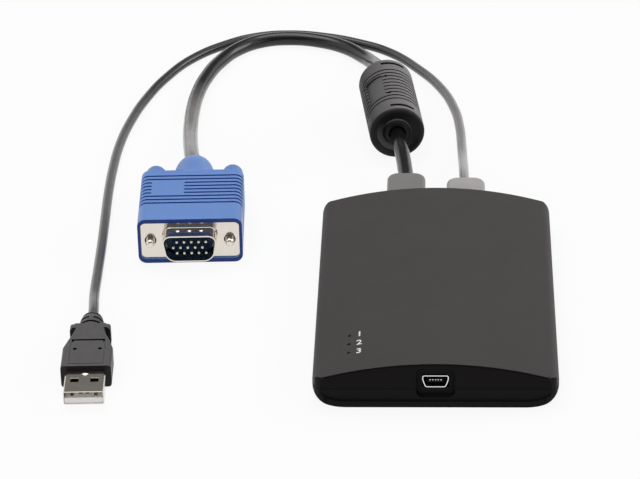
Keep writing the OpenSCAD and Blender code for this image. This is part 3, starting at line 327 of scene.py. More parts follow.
toward = surround_node("ShaderNodeTexCoord", pick="Generated")
sideways, backward, height = (
    surround_node("ShaderNodeSeparateXYZ", {0: toward}, pick=axis) for axis in range(3)
)
sideways = sideways.maths("ABSOLUTE", sideways, 0)
wall = rises(height, 0.22, 0.36) * (1 - rises(height, 0.7, 0.85))
wall = wall * (1 - rises(sideways, 0.45, 0.65)) * rises(backward, -0.1, 0.1) * DIM_WALL
front_wall = rises(height, 0.05, 0.2) * (1 - rises(height, 0.75, 0.9))
front_wall = front_wall * (1 - rises(sideways, 0.5, 0.75))
wall = wall + front_wall * (1 - rises(backward, -0.3, -0.1)) * DIM_FRONT
camera_ray = surround_node("ShaderNodeLightPath", pick="Is Camera Ray")
mirror_ray = surround_node("ShaderNodeLightPath", pick="Is Glossy Ray")
glass_ray = surround_node("ShaderNodeLightPath", pick="Is Transmission Ray")
plain = 1 - (camera_ray + mirror_ray + glass_ray)
strength = camera_ray + (mirror_ray + glass_ray) * (1 - wall) + plain * SURROUND_LIGHT
plug_in(surround, surround.nodes["Background"].inputs["Strength"], strength)
plug_in(surround, surround.nodes["Background"].inputs["Color"], (1, 1, 1))


def softbox(name, place, target, width, height, watts, mirrored=True):
    way = Vector(target) - Vector(place)
    bpy.ops.object.light_add(
        type="AREA", location=place, rotation=way.to_track_quat("-Z", "Y").to_euler()
    )
    lamp = bpy.context.object
    lamp.name = name
    lamp.data.shape = "RECTANGLE"
    lamp.data.size = width
    lamp.data.size_y = height
    lamp.data.energy = watts
    lamp.visible_glossy = mirrored


softbox("overhead_softbox", (-0.25, 0.45, 1.6), (-0.03, 0.06, 0), 1.5, 1.1, 12.5)
softbox("right_softbox", (1.0, 0.35, 0.5), (-0.02, 0.08, 0), 0.7, 0.6, 4)
softbox("front_fill", (-0.4, -1.4, 0.45), (-0.03, 0, 0), 1.0, 0.6, 8, mirrored=False)

# The case is two mouldings in soft black plastic, with a crowned top cover screwed down on a flat
# bottom cover. The front is a lens-shaped panel set back inside a thin rim.
class Bench:
    """Edit mode on one piece. Places are in millimetres from the bench's own origin."""

    def __init__(self, piece, origin=(0, 0, 0)):
        self.piece = piece
        self.origin = Vector(origin)

    def __enter__(self):
        bpy.ops.object.select_all(action="DESELECT")
        self.piece.select_set(True)
        bpy.context.view_layer.objects.active = self.piece
        bpy.ops.object.mode_set(mode="EDIT")
        return self

    def __exit__(self, *failure):
        bpy.ops.object.mode_set(mode="OBJECT")

    def near(self, place):
        return place / MM - self.origin

    def far(self, place):
        return (Vector(place) + self.origin) * MM

    def all(self):
        bpy.ops.mesh.select_all(action="SELECT")

    def faces(self, test):
        """Selects the faces whose middle and normal pass the test."""
        bpy.ops.mesh.select_mode(type="FACE")
        bpy.ops.mesh.select_all(action="DESELECT")
        mesh = bmesh.from_edit_mesh(self.piece.data)
        for face in mesh.faces:
            face.select_set(bool(test(self.near(face.calc_center_bounds()), face.normal)))
        bmesh.update_edit_mesh(self.piece.data)

    def edges(self, test):
        """Selects the edges whose two ends pass the test."""
        bpy.ops.mesh.select_mode(type="EDGE")
        bpy.ops.mesh.select_all(action="DESELECT")
        mesh = bmesh.from_edit_mesh(self.piece.data)
        for edge in mesh.edges:
            first, second = edge.verts
            edge.select_set(bool(test(self.near(first.co), self.near(second.co))))
        bmesh.update_edit_mesh(self.piece.data)

    def cut(self, place, normal):
        """Cuts a line right round the piece."""
        self.all()
        bpy.ops.mesh.bisect(plane_co=self.far(place), plane_no=normal, threshold=1e-7)

    def round_off(self, width, segments):
        bpy.ops.mesh.bevel(offset=width * MM, segments=segments, affect="EDGES")

    def inset(self, width):
        bpy.ops.mesh.inset(thickness=width * MM, use_even_offset=True)

    def sink(self, depth):
        """Sinks the selected faces along their normals, with walls round them."""
        bpy.ops.mesh.extrude_region_shrink_fatten(
            TRANSFORM_OT_shrink_fatten={"value": -depth * MM, "use_even_offset": True}
        )

    def push(self, *way):
        bpy.ops.mesh.extrude_region_move(TRANSFORM_OT_translate={"value": Vector(way) * MM})

    def copy_to(self, *way):
        """Copies what is selected, and leaves the copy selected."""
        bpy.ops.mesh.duplicate_move(TRANSFORM_OT_translate={"value": Vector(way) * MM})

    def shift(self, *way):
        bpy.ops.transform.translate(value=Vector(way) * MM)

    def resize(self, factors, middle=(0, 0, 0)):
        bpy.ops.transform.resize(value=factors, center_override=self.far(middle))

    def merge(self):
        self.all()
        bpy.ops.mesh.remove_doubles(threshold=1e-6)
        bpy.ops.mesh.normals_make_consistent(inside=False)


def apply_modifiers(piece):
    bpy.ops.object.select_all(action="DESELECT")
    piece.select_set(True)
    bpy.context.view_layer.objects.active = piece
    for modifier in list(piece.modifiers):
        bpy.ops.object.modifier_apply(modifier=modifier.name)


def soften(piece, width=0, segments=2, angle=35):
    """Takes the sharp edges off a piece, and shades round faces smooth and flat ones flat."""
    if width:
        edge = piece.modifiers.new("edge", "BEVEL")
        edge.width = width * MM
        edge.segments = segments
        edge.limit_method = "ANGLE"
        edge.angle_limit = math.radians(angle)
        apply_modifiers(piece)
    bpy.ops.object.select_all(action="DESELECT")
    piece.select_set(True)
    bpy.context.view_layer.objects.active = piece
    bpy.ops.object.shade_smooth_by_angle(angle=math.radians(angle))
    flats = piece.modifiers.new("flats", "WEIGHTED_NORMAL")
    flats.keep_sharp = True
    apply_modifiers(piece)
    return piece


def from_mould(node, name):
    """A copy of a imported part, merged into one closed skin, its outer parting edge rounded."""
    bpy.ops.object.select_all(action="DESELECT")
    source = bpy.data.objects[node]
    source.select_set(True)
    bpy.context.view_layer.objects.active = source
    bpy.ops.object.duplicate()
    copy = bpy.context.object
    bpy.ops.object.parent_clear(type="CLEAR_KEEP_TRANSFORM")
    copy.name = name
    with Bench(copy) as bench:
        bench.all()
        bpy.ops.mesh.remove_doubles(threshold=1e-6)
        bpy.ops.mesh.dissolve_limited(angle_limit=math.radians(0.2))
        bench.edges(lambda a, b: on_outer_parting(a) and on_outer_parting(b))
        bench.round_off(PARTING_EDGE, 2)
    return soften(copy, angle=25)


def paint(nodes, finish):
    """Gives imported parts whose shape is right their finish."""
    for node in nodes:
        mesh = bpy.data.objects[node].data
        mesh.materials.clear()
        mesh.materials.append(finish.material)


FRONT_BAND_Y = -45
PANEL_FLOOR_Y = -52.4
POCKET_MOUTH_Y = -50.9
POCKET_TOP_Z = 13.2
POCKET_HALF = 5.8
PARTING_Z = 6
PARTING_EDGE = 0.2
SIDE_X = 35.7
END_Y = 52.2
CORNER = (31.6, 48.5)
CORNER_R = 4.2


def on_outer_parting(place):
    """Whether a place is on the line where the covers meet, as seen from outside."""
    x, y = abs(place.x), abs(place.y)
    beyond = (x - CORNER[0], y - CORNER[1])
    at_corner = min(beyond) > 0 and math.hypot(*beyond) > CORNER_R
    return abs(place.z - PARTING_Z) < 0.01 and (x > SIDE_X or y > END_Y or at_corner)


case_black = moulded(
    "case_bare_black", (0.005, 0.0042, 0.005), 0.5, mottle=0.05, Specular_IOR_Level=0.1
)
# Painted sheen: the top cover's black plastic is painted charcoal grey, and only its front faces
# keep a near black. The port pocket is painted darker still, as painted shade.
case_sheened = moulded(
    "case_black_painted_sheen", (0.064, 0.059, 0.058), 0.5, depth=0.012 * MM, Specular_IOR_Level=0.1
)
across, ahead, above = (case_sheened.part_of(case_sheened.place, axis) for axis in range(3))
front = (case_sheened.facing(1, "True Normal") < -0.6) * (ahead < FRONT_BAND_Y * MM)
pocket = (ahead > (PANEL_FLOOR_Y + 0.05) * MM) * (ahead < POCKET_MOUTH_Y * MM)
pocket = pocket * (above < POCKET_TOP_Z * MM)
pocket = pocket * (across < POCKET_HALF * MM) * (across > -POCKET_HALF * MM)
patches = case_sheened.noise(14 * MM, 3)
soft = case_sheened.blend((0.065, 0.06, 0.059), (0.074, 0.069, 0.068), patches)
soft = case_sheened.blend(soft, (0.0035, 0.0025, 0.003), front)
case_sheened.feed("Base Color", case_sheened.blend(soft, (0.002, 0.0015, 0.002), pocket))
bottom = from_mould("bottom_cover", "bottom_cover_moulding")
dress(bottom, case_black, "adapter", "case_bottom", "bottom_cover")
top = from_mould("top_cover", "top_cover_moulding")
dress(top, case_sheened, "adapter", "case_top", "top_cover")

# Beside each of the three pinholes for the lamps, a plain digit is pad-printed in white ink. It
# lies on the curve of the crown as a thin skin.
CASE_H = 15
CROWN_R = 117.95
CROWN_Z = CASE_H - CROWN_R
DIGIT_X = -23.4
DIGIT_H = 2.5
FIGURE_SHARE = 0.7
STROKE_SPREAD = 0.06
INK_HALF = 0.01
INK_LIFT = 0.012
LAMP_Y = (-33.0, -37.7, -42.4)
ink = moulded("white_print", (0.95, 0.95, 0.94), 0.6, grain=0.1 * MM, depth=0.004 * MM, mottle=0.04)
for number, lamp_y in enumerate(LAMP_Y, 1):
    bpy.ops.object.select_all(action="DESELECT")
    bpy.ops.object.text_add()
    digit = bpy.context.object
    digit.name = f"printed_digit_{number}"
    digit.data.body = str(number)
    digit.data.size = DIGIT_H / FIGURE_SHARE * MM
    digit.data.extrude = INK_HALF * MM
    digit.data.offset = STROKE_SPREAD * MM
    digit.data.align_y = "CENTER"
    bpy.ops.object.convert(target="MESH")
    lean = math.asin(DIGIT_X / CROWN_R)
    digit.rotation_euler = (0, lean, 0)
    skin_z = CROWN_Z + CROWN_R * math.cos(lean) + INK_LIFT
    digit.location = Vector((DIGIT_X, lamp_y, skin_z)) * MM
    bpy.ops.object.transform_apply()
    dress(digit, ink, "adapter", "case_top")

# The lamps are small clear epoxy domes, soldered to the board under the pinholes. They shine
# through the pinholes when the adapter works, and none is lit here.
lamp_clear = moulded("lamp_epoxy", (0.55, 0.62, 0.58), 0.25, mottle=0.05)
paint(["status_leds"], lamp_clear)


# The mini socket is a folded tin-plated shell with rounded corners, drawn in towards its foot. A
# black tongue inside carries five contacts, whose tips hook over its front edge.
def plated(name, colour, roughness):
    """Plated metal: soft drawing lines from the press, and patches dulled by handling."""
    finish = Finish(name, colour, roughness, Metallic=1.0)
    lines = finish.noise(0.5 * MM, 1, (1, 0.05, 1))
    patches = finish.noise(4 * MM, 2)
    dull = [c * 0.88 for c in colour]
    finish.feed("Base Color", finish.blend(dull, colour, patches))
    finish.feed("Roughness", roughness + (lines - 0.5) * 0.06 + (patches - 0.5) * 0.08)
    return finish


def start_box(name, low, high, origin=(0, 0, 0)):
    """A plain block between two corners, in millimetres, ready to be shaped."""
    low, high = Vector(low) + Vector(origin), Vector(high) + Vector(origin)
    bpy.ops.object.select_all(action="DESELECT")
    bpy.ops.mesh.primitive_cube_add(size=1, location=(low + high) / 2 * MM, scale=(high - low) * MM)
    bpy.ops.object.transform_apply()
    bpy.context.object.name = name
    return bpy.context.object


def start_rod(name, radius, start, length, sides=32, way=(0, 1, 0)):
    """A plain round rod from one place along a direction, in millimetres."""
    middle = (Vector(start) + Vector(way) * length / 2) * MM
    turn = Vector(way).to_track_quat("Z", "Y").to_euler()
    bpy.ops.object.select_all(action="DESELECT")
    bpy.ops.mesh.primitive_cylinder_add(
        vertices=sides, radius=radius * MM, depth=length * MM, location=middle, rotation=turn
    )
    bpy.ops.object.transform_apply()
    bpy.context.object.name = name
    return bpy.context.object


def combine(piece, operation, tools):
    """Cuts tool shapes out of a piece, or joins them to it, and takes the tools away."""
    for tool in tools:
        step = piece.modifiers.new("step", "BOOLEAN")
        step.operation = operation
        step.solver = "EXACT"
        step.object = tool
        apply_modifiers(piece)
        bpy.data.objects.remove(tool)


nickel = plated("nickel_plate", (0.84, 0.775, 0.695), 0.15)
tin = plated("tin_plate", (0.96, 0.94, 0.94), 0.18)
gold = plated("gold_plate", (0.83, 0.62, 0.28), 0.25)
steel = plated("zinc_steel", (0.62, 0.62, 0.6), 0.35)
black_nylon = moulded("black_nylon", (0.008, 0.008, 0.009), 0.45, Specular_IOR_Level=0.15)
MINI = Vector((0, -51.4, 8))
MINI_HALF_W = 3.85
MINI_HALF_H = 2
MINI_L = 9.2
MINI_SHEET = 0.26
MINI_KNEE_Z = 0.5
MINI_FOOT = 0.78
MINI_TAB_L = 1.8
MINI_TAB_YS = (4.6, 7.4)
mini = start_box(
    "mini_socket_folded", (-MINI_HALF_W, 0, -MINI_HALF_H), (MINI_HALF_W, MINI_L, MINI_HALF_H), MINI
)


def at_knee(place):
    return abs(place.z - MINI_KNEE_Z) < 0.1


with Bench(mini, MINI) as bench:
    bench.cut((0, 0, MINI_KNEE_Z), (0, 0, 1))
    bench.faces(lambda c, n: n.z < -0.9)
    bench.resize((MINI_FOOT, 1, 1))
    bench.edges(lambda a, b: abs(a.y - b.y) > 5 and abs(a.z) > MINI_HALF_H - 0.1)
    bench.round_off(0.6, 5)
    bench.edges(lambda a, b: abs(a.y - b.y) > 5 and at_knee(a) and at_knee(b))
    bench.round_off(0.5, 3)
    bench.faces(lambda c, n: n.y < -0.9)
    bench.inset(MINI_SHEET)
    bench.push(0, 8.9, 0)
tabs = []
for middle, half, top_z in ((3.95, 0.6, -1.7), (3.7, 0.15, 0.6)):
    for x in (-middle, middle):
        for y in MINI_TAB_YS:
            low = (x - half, y, -MINI_HALF_H)
            tabs.append(start_box("tab", low, (x + half, y + MINI_TAB_L, top_z), MINI))
combine(mini, "UNION", tabs)
soften(mini, 0.05, 2)
dress(mini, tin, "adapter", "nickel", "mini_usb_shell")
TONGUE_FRONT = 0.5
TONGUE_TOP = 0.4
TONGUE_L = 7.3
CONTACT_PITCH = 0.8
tongue = start_box(
    "mini_socket_tongue", (-2.3, TONGUE_FRONT, -0.5), (2.3, TONGUE_L, TONGUE_TOP), MINI
)
combine(tongue, "UNION", [start_box("block", (-2.7, 7.2, -1.7), (2.7, 8.9, 1.7), MINI)])
soften(tongue, 0.05, 1)
dress(tongue, black_nylon, "adapter", "black_insulator", "mini_usb_tongue")
tips = start_box(
    "mini_socket_contacts", (-1.78, 0.35, TONGUE_TOP), (-1.42, TONGUE_L, 0.5), MINI
)
with Bench(tips, MINI) as bench:
    bench.cut((0, TONGUE_FRONT, 0), (0, 1, 0))
    bench.faces(lambda c, n: n.z < -0.9 and c.y < TONGUE_FRONT)
    bench.push(0, 0, -0.22)
    bench.all()
    for _ in range(4):
        bench.copy_to(CONTACT_PITCH, 0, 0)
soften(tips, 0.03, 1)
dress(tips, tin, "adapter", "gold", "mini_usb_contacts")

# Each lead leaves the back of the case through a flat-topped gland with rounded far corners. It is
# moulded in grey vinyl, and its inner flange holds it behind the back wall.
GLAND_W = 12.3
GLAND_H = 7.8
GLAND_Z = 7.5
GLAND_PLAN_R = 3.6
GLAND_EDGE_R = 1.2
NECK_HALF_W = 4.6
NECK_HALF_H = 2.9
FLANGE_Y = (49.1, 50.9)
CASE_BACK_Y = 53.1
gland_grey = moulded("gland_vinyl", (0.24, 0.23, 0.226), 0.4, mottle=0.1)
# Painted light: the serial lead's gland uses a paler copy of the same grey vinyl, painted lighter
# as though more light fell on it.
gland_painted_lighter = moulded("gland_painted_lighter_vinyl", (0.46, 0.44, 0.435), 0.4, mottle=0.1)


def gland(name, cable_exit, bore_r):
    x, back_y, _ = cable_exit
    half = GLAND_W / 2
    low_z = GLAND_Z - GLAND_H / 2
    high_z = GLAND_Z + GLAND_H / 2
    block = start_box(name, (x - half, CASE_BACK_Y, low_z), (x + half, back_y, high_z))
    with Bench(block) as bench:
        bench.edges(lambda a, b: abs(a.z - b.z) > 1 and min(a.y, b.y) > back_y - 0.1)
        bench.round_off(GLAND_PLAN_R, 7)
        bench.edges(lambda a, b: abs(a.z - b.z) < 0.1 and max(a.y, b.y) > CASE_BACK_Y + 0.1)
        bench.round_off(GLAND_EDGE_R, 4)
    neck = start_box(
        "neck", (x - NECK_HALF_W, FLANGE_Y[0], GLAND_Z - NECK_HALF_H),
        (x + NECK_HALF_W, CASE_BACK_Y + 0.5, GLAND_Z + NECK_HALF_H),
    )
    flange = start_box("flange", (x - half, FLANGE_Y[0], low_z), (x + half, FLANGE_Y[1], high_z))
    combine(block, "UNION", [neck, flange])
    combine(block, "DIFFERENCE", [start_rod("bore", bore_r, (x, 48, GLAND_Z), back_y - 47)])
    return soften(block, 0.12, 2)


vga_gland = gland("vga_cable_gland", VGA_EXIT, 2.75)
dress(vga_gland, gland_grey, "adapter", "gland", "vga_gland")
usb_gland = gland("usb_cable_gland", USB_EXIT, 1.75)
dress(usb_gland, gland_painted_lighter, "adapter", "gland", "usb_gland")


# A ferrite core against radio noise sits on the display cable, moulded over in grey-black vinyl.
# Ten fine grooves ring the cover, and a smooth pad breaks them. The end slots held the core in the
# mould.
def turned(name, profile, origin, sides=48):
    """A round piece about a line along Y, drawn out ring by ring through (along, radius) steps."""
    along, radius = profile[0]
    bpy.ops.object.select_all(action="DESELECT")
    bpy.ops.mesh.primitive_circle_add(
        vertices=sides, radius=radius * MM, rotation=(math.pi / 2, 0, 0),
        location=(Vector(origin) + Vector((0, along, 0))) * MM,
    )
    bpy.ops.object.transform_apply()
    piece = bpy.context.object
    piece.name = name
    with Bench(piece, origin) as bench:
        bpy.ops.mesh.select_mode(type="EDGE")
        bench.all()
        for (start, before), (end, after) in zip(profile, profile[1:]):
            bench.push(0, end - start, 0)
            bench.resize((after / before, 1, after / before), (0, end, 0))
        bench.merge()
        bpy.ops.mesh.select_mode(type="EDGE")
        bpy.ops.mesh.select_all(action="DESELECT")
        bpy.ops.mesh.select_non_manifold()
        bpy.ops.mesh.edge_face_add()
        bench.merge()
    return piece


def quarter(middle_y, middle_r, reach_y, reach_r, steps):
    """Places on a quarter of an ellipse, for a profile."""
    angles = [math.radians(90 * i / steps) for i in range(steps + 1)]
    return [(middle_y + reach_y * math.sin(a), middle_r + reach_r * math.cos(a)) for a in angles]


def lean_from_top(place):
    """The angle round a Y axis, from straight up towards +X, in degrees."""
    return math.degrees(math.atan2(place.x, place.z))


FERRITE_R = 9.2
FERRITE_EDGE_R = 1.1
GROOVE_STEP = 2.35
GROOVE_HALF = 0.375
GROOVE_DEPTH = 0.5
SLOT_HALF = 0.7
SLOT_DEPTH = 2.4
SLOT_LEANS = (14, 134, 254)
SLOT_SPREAD = 26
PIN_ALONG = 6.1
PIN_SPREAD = 30
PIN_R = 0.7
PAD_LEAN = -38
PAD_SPREAD = 23
PAD_HALF = 7.1
groove_ys = [(i - 4.5) * GROOVE_STEP for i in range(10)]
slot_ys = [-15.35, 15.35]
half_end = [
    (FERRITE_HALF, 2.9), (FERRITE_HALF, 4), (FERRITE_HALF - 0.7, 4.4),
    (FERRITE_HALF - 1.5, 4.8), (FERRITE_HALF - 1.5, 5.4), (FERRITE_HALF - 1, 6.6),
    (FERRITE_HALF - 0.4, 7.5), (FERRITE_HALF, 7.9),
]
corner = quarter(
    FERRITE_HALF - FERRITE_EDGE_R, FERRITE_R - FERRITE_EDGE_R, FERRITE_EDGE_R, FERRITE_EDGE_R, 5
)[::-1]
walls = [y + side for y in groove_ys for side in (-GROOVE_HALF, GROOVE_HALF)]
walls += [y + side for y in slot_ys for side in (-SLOT_HALF, SLOT_HALF)]
walls = sorted(walls + [-PAD_HALF, PAD_HALF])
profile = [(-y, r) for y, r in half_end + corner] + [(y, FERRITE_R) for y in walls]
profile += [(y, r) for y, r in (half_end + corner)[::-1]]
ferrite = turned("ferrite_moulding", profile + [profile[0]], FERRITE_MID, 90)


def on_side(place):
    return math.hypot(place.x, place.z) > FERRITE_R - 0.3


def in_groove(place):
    return any(abs(place.y - y) < 0.1 for y in groove_ys)


def in_pad(place):
    return abs(place.y) < PAD_HALF and abs(lean_from_top(place) - PAD_LEAN) < PAD_SPREAD


def in_slot(place):
    lean = lean_from_top(place)
    turned_by = min(abs((lean - middle + 180) % 360 - 180) for middle in SLOT_LEANS)
    return any(abs(place.y - y) < 0.2 for y in slot_ys) and turned_by < SLOT_SPREAD


with Bench(ferrite, FERRITE_MID) as bench:
    bench.faces(lambda c, n: on_side(c) and (in_groove(c) or in_pad(c)))
    bench.sink(GROOVE_DEPTH)
    bench.faces(lambda c, n: on_side(c) and in_slot(c))
    bench.sink(SLOT_DEPTH)
pins = []
for across in (-1, 1):
    for along in (-PIN_ALONG, PIN_ALONG):
        lean = math.radians(PAD_LEAN + across * PIN_SPREAD)
        way = Vector((math.sin(lean), 0, math.cos(lean)))
        start = FERRITE_MID + way * 7.6 + Vector((0, along, 0))
        pins.append(start_rod("pin_hole", PIN_R, start, 3, 16, way))
combine(ferrite, "DIFFERENCE", pins)
soften(ferrite)


def turn_about(piece, middle, degrees):
    """Turns a finished piece about an upright line through a place on it."""
    with Bench(piece) as bench:
        bench.all()
        bpy.ops.transform.rotate(
            value=-math.radians(degrees), orient_axis="Z", center_override=Vector(middle) * MM
        )


turn_about(ferrite, FERRITE_MID, FERRITE_TURN)
ferrite_vinyl = moulded("ferrite_vinyl", (0.2, 0.19, 0.19), 0.46, Specular_IOR_Level=0.2)
# Painted light and shade: the cover is painted grey where it faces up and to the right, near black
# where it faces away, and near black over its front end.
painted_light_mask = ferrite_vinyl.facing(2) * 0.8 + ferrite_vinyl.facing(0) * 0.45
painted_light_mask = ferrite_vinyl.rises(painted_light_mask, 0, 1)
across, along = (ferrite_vinyl.part_of(ferrite_vinyl.place, axis) for axis in (0, 1))
along = across * ferrite_heading.x + along * ferrite_heading.y
FRONT_SHADE_L = 0.95
front_end = along < (FERRITE_MID.dot(ferrite_heading) - FERRITE_HALF + FRONT_SHADE_L) * MM
painted_light_mask = painted_light_mask * (1 - front_end * 0.9)
patches = ferrite_vinyl.noise(6 * MM, 3)
ferrite_lit_tone = ferrite_vinyl.blend((0.2, 0.19, 0.19), (0.265, 0.255, 0.255), patches)
ferrite_vinyl.feed("Base Color", ferrite_vinyl.blend((0.008, 0.007, 0.008), ferrite_lit_tone, painted_light_mask))
dress(ferrite, ferrite_vinyl, "adapter", "ferrite_cover", "ferrite_cover")

# The display plug has a blue moulded hood with ribs to grip, a round relief over the cable, and a
# smooth pad on top. Its nickel face and shell are pressed steel, held by the hood's rim.
VGA_PLUG = Vector((-77.4, 30.7, 7.9))
VGA_TURN = 2
JACK_X = 12.495
HOOD_HALF_W = 16.5
HOOD_HALF_H = 7.9
HOOD_L = 32.2
HOOD_ROUND = 2.6
GROOVE_W = 0.9
GRIP_GROOVES = [10.4 + 2.2 * i for i in range(9)]
BROKEN_GROOVES = GRIP_GROOVES[3:7]
GRIP_PAD = (-12.7, -2.3)
hood = start_box(
    "vga_hood_moulding", (-HOOD_HALF_W, 0, -HOOD_HALF_H), (HOOD_HALF_W, HOOD_L, HOOD_HALF_H),
    VGA_PLUG,
)


def in_hood_groove(place):
    broken = any(0 < place.y - y < GROOVE_W for y in BROKEN_GROOVES)
    on_pad = GRIP_PAD[0] < place.x < GRIP_PAD[1] and place.z > 0
    return any(0 < place.y - y < GROOVE_W for y in GRIP_GROOVES) and not (broken and on_pad)


with Bench(hood, VGA_PLUG) as bench:
    bench.edges(lambda a, b: abs(a.y - b.y) > 30)
    bench.round_off(HOOD_ROUND, 7)
    for y in GRIP_GROOVES:
        bench.cut((0, y, 0), (0, 1, 0))
        bench.cut((0, y + GROOVE_W, 0), (0, 1, 0))
    for x in GRIP_PAD:
        bench.cut((x, 0, 0), (1, 0, 0))
    bench.faces(lambda c, n: abs(n.y) < 0.1 and in_hood_groove(c))
    bench.sink(0.8)
    bench.faces(lambda c, n: n.y < -0.9 and abs(c.y) < 0.01)
    bench.inset(0.9)
    bench.resize((1, 1, 12.8 / 14.0))
    bench.push(0, 1.3, 0)
relief = turned(
    "relief", [
        (31.9, 7.5), (32.7, 7.3), (33.6, 7), (35, 6.8), (38, 6.7), (40.8, 6.6),
        *quarter(40.8, 3.3, 8, 3.3, 8)[1:],
    ], VGA_PLUG, 48
)
combine(hood, "UNION", [relief])
for radius, length, sides in ((1.85, 14, 32), (1.18, 40, 24)):
    for x in (-JACK_X, JACK_X):
        bore = start_rod("jack_bore", radius, VGA_PLUG + Vector((x, -1, 0)), length, sides)
        combine(hood, "DIFFERENCE", [bore])
soften(hood, 0.15, 2)
turn_about(hood, VGA_PLUG, VGA_TURN)
hood_blue = moulded(
    "hood_blue_vinyl", (0.16, 0.31, 0.72), 0.36, mottle=0.07, Specular_IOR_Level=0.35
)
RIM_Y = 32.5
RIBS_Y = (38, 61)
RIB_FOOT_R = 2.45
# Painted shade: faces that look forward at the front of the hood are painted darker navy.
rim = (hood_blue.part_of(hood_blue.place, 1) < RIM_Y * MM) * (hood_blue.facing(1) < -0.4)
blue = hood_blue.blend((0.15, 0.295, 0.69), (0.18, 0.33, 0.74), hood_blue.noise(9 * MM, 3))
across, along, above = (hood_blue.part_of(hood_blue.place, axis) for axis in range(3))
turn = math.radians(VGA_TURN)
across = (across - VGA_PLUG.x * MM) * math.cos(turn) + (along - VGA_PLUG.y * MM) * math.sin(turn)
above = above - VGA_PLUG.z * MM
beside = across.maths("ABSOLUTE", across, 0) - (HOOD_HALF_W - HOOD_ROUND) * MM
above = above.maths("ABSOLUTE", above, 0) - (HOOD_HALF_H - HOOD_ROUND) * MM
beside, above = (side.maths("MAXIMUM", side, 0) for side in (beside, above))
# Painted shade: what lies below the hood's outer skin between RIBS_Y, chiefly the groove floors, is
# painted darker blue.
groove = beside * beside + above * above < (RIB_FOOT_R * MM) ** 2
groove = groove * (along > RIBS_Y[0] * MM) * (along < RIBS_Y[1] * MM)
blue = hood_blue.blend(blue, (0.03, 0.09, 0.38), groove)
hood_blue.feed("Base Color", hood_blue.blend(blue, (0.01, 0.035, 0.2), rim))
dress(hood, hood_blue, "adapter", "blue_mould", "vga_hood")


def start_d(name, width, height, front, back, radius, origin, lean=10):
    """A block with the D outline of the display plug, its long side up."""
    block = start_box(name, (-width / 2, front, -height / 2), (width / 2, back, height / 2), origin)
    drawn_in = height * math.tan(math.radians(lean))
    with Bench(block, origin) as bench:
        bench.faces(lambda c, n: n.z < -0.9)
        bench.resize(((width - 2 * drawn_in) / width, 1, 1))
        bench.edges(lambda a, b: abs(a.y - b.y) > 1)
        bench.round_off(radius, 8)
    return block


SHELL_SIZE = (17.82, 9.26)
SHELL_FLARES = ((0.1, 18.3, 9.74), (0.4, 18.9, 10.34))
INSIDE_SIZE = (16.92, 8.36)
face = start_box("vga_face_pressing", (-15.5, 0.7, -6.3), (15.5, 1.2, 6.3), VGA_PLUG)
with Bench(face, VGA_PLUG) as bench:
    bench.edges(lambda a, b: abs(a.y - b.y) > 0.3 and abs(a.x - b.x) < 0.1)
    bench.round_off(1.4, 6)
skirt = start_d("skirt", *SHELL_SIZE, -5.2, 1.2, 3.05, VGA_PLUG)
with Bench(skirt, VGA_PLUG) as bench:
    bench.cut((0, 0.05, 0), (0, 1, 0))
    bench.cut((0, 0.35, 0), (0, 1, 0))
    wide, high = SHELL_SIZE
    for past_y, flared_wide, flared_high in SHELL_FLARES:
        bench.edges(lambda a, b: min(a.y, b.y) > past_y)
        bench.resize((flared_wide / wide, 1, flared_high / high))
        wide, high = flared_wide, flared_high
    bench.faces(lambda c, n: n.y < -0.9)
    bench.inset(0.45)
    bench.push(0, 7.5, 0)
combine(face, "UNION", [skirt])
combine(face, "DIFFERENCE", [start_d("inside", *INSIDE_SIZE, -6, 2, 2.6, VGA_PLUG)])
dimples = []
for x in (-3.7, 0, 3.7):
    bpy.ops.mesh.primitive_uv_sphere_add(
        segments=24, ring_count=12, radius=0.75 * MM, scale=(1.35, 1, 1),
        location=(VGA_PLUG + Vector((x, -1.96, 5.1))) * MM,
    )
    bpy.ops.object.transform_apply()
    dimples.append(bpy.context.object)
combine(face, "DIFFERENCE", dimples)
for x in (-JACK_X, JACK_X):
    combine(face, "DIFFERENCE", [start_rod("hole", 1.85, VGA_PLUG + Vector((x, 0, 0)), 2, 32)])
soften(face, 0.08, 2)
turn_about(face, VGA_PLUG, VGA_TURN)
dress(face, nickel, "adapter", "nickel", "vga_face_shell")

# Inside the plug's shell a dark blue insert carries fifteen pins in three rows.
insert_blue = moulded("insert_blue", (0.003, 0.02, 0.05), 0.25, mottle=0.06, Specular_IOR_Level=0.2)
paint(["vga_insert"], insert_blue)
pin_metal = plated("pin_plate", (0.9, 0.87, 0.8), 0.2)
paint(["vga_pins"], pin_metal)
paint(["vga_back_shell"], steel)

# The two captive screws run through the hood. Each has a thread at the front, and a round blue knob
# pressed on its back end, with flutes for the fingers.
THREAD_PITCH = 0.58
THREAD_END_Y = 2.5
SHANK_R = 1.1
KNOB_SIDES = 48


def jackscrew(name, x):
    place = VGA_PLUG + Vector((x, 0, 0))
    thread = [(-2.2, 0.3), (-2.15, 0.7), (-2, 1), (-1.75, 1.2), (-1.5, 1.32)]
    y = -1.3
    while y < THREAD_END_Y:
        thread += [(y, 1.42), (y + 0.12, 1.44), (y + 0.32, 1.2), (y + 0.45, 1.2)]
        y += THREAD_PITCH
    thread += [(3.1, 1.38), (3.11, SHANK_R), (41.5, SHANK_R)]
    screw = turned(name, thread, place, 32)
    soften(screw, angle=30)
    turn_about(screw, VGA_PLUG, VGA_TURN)
    return screw


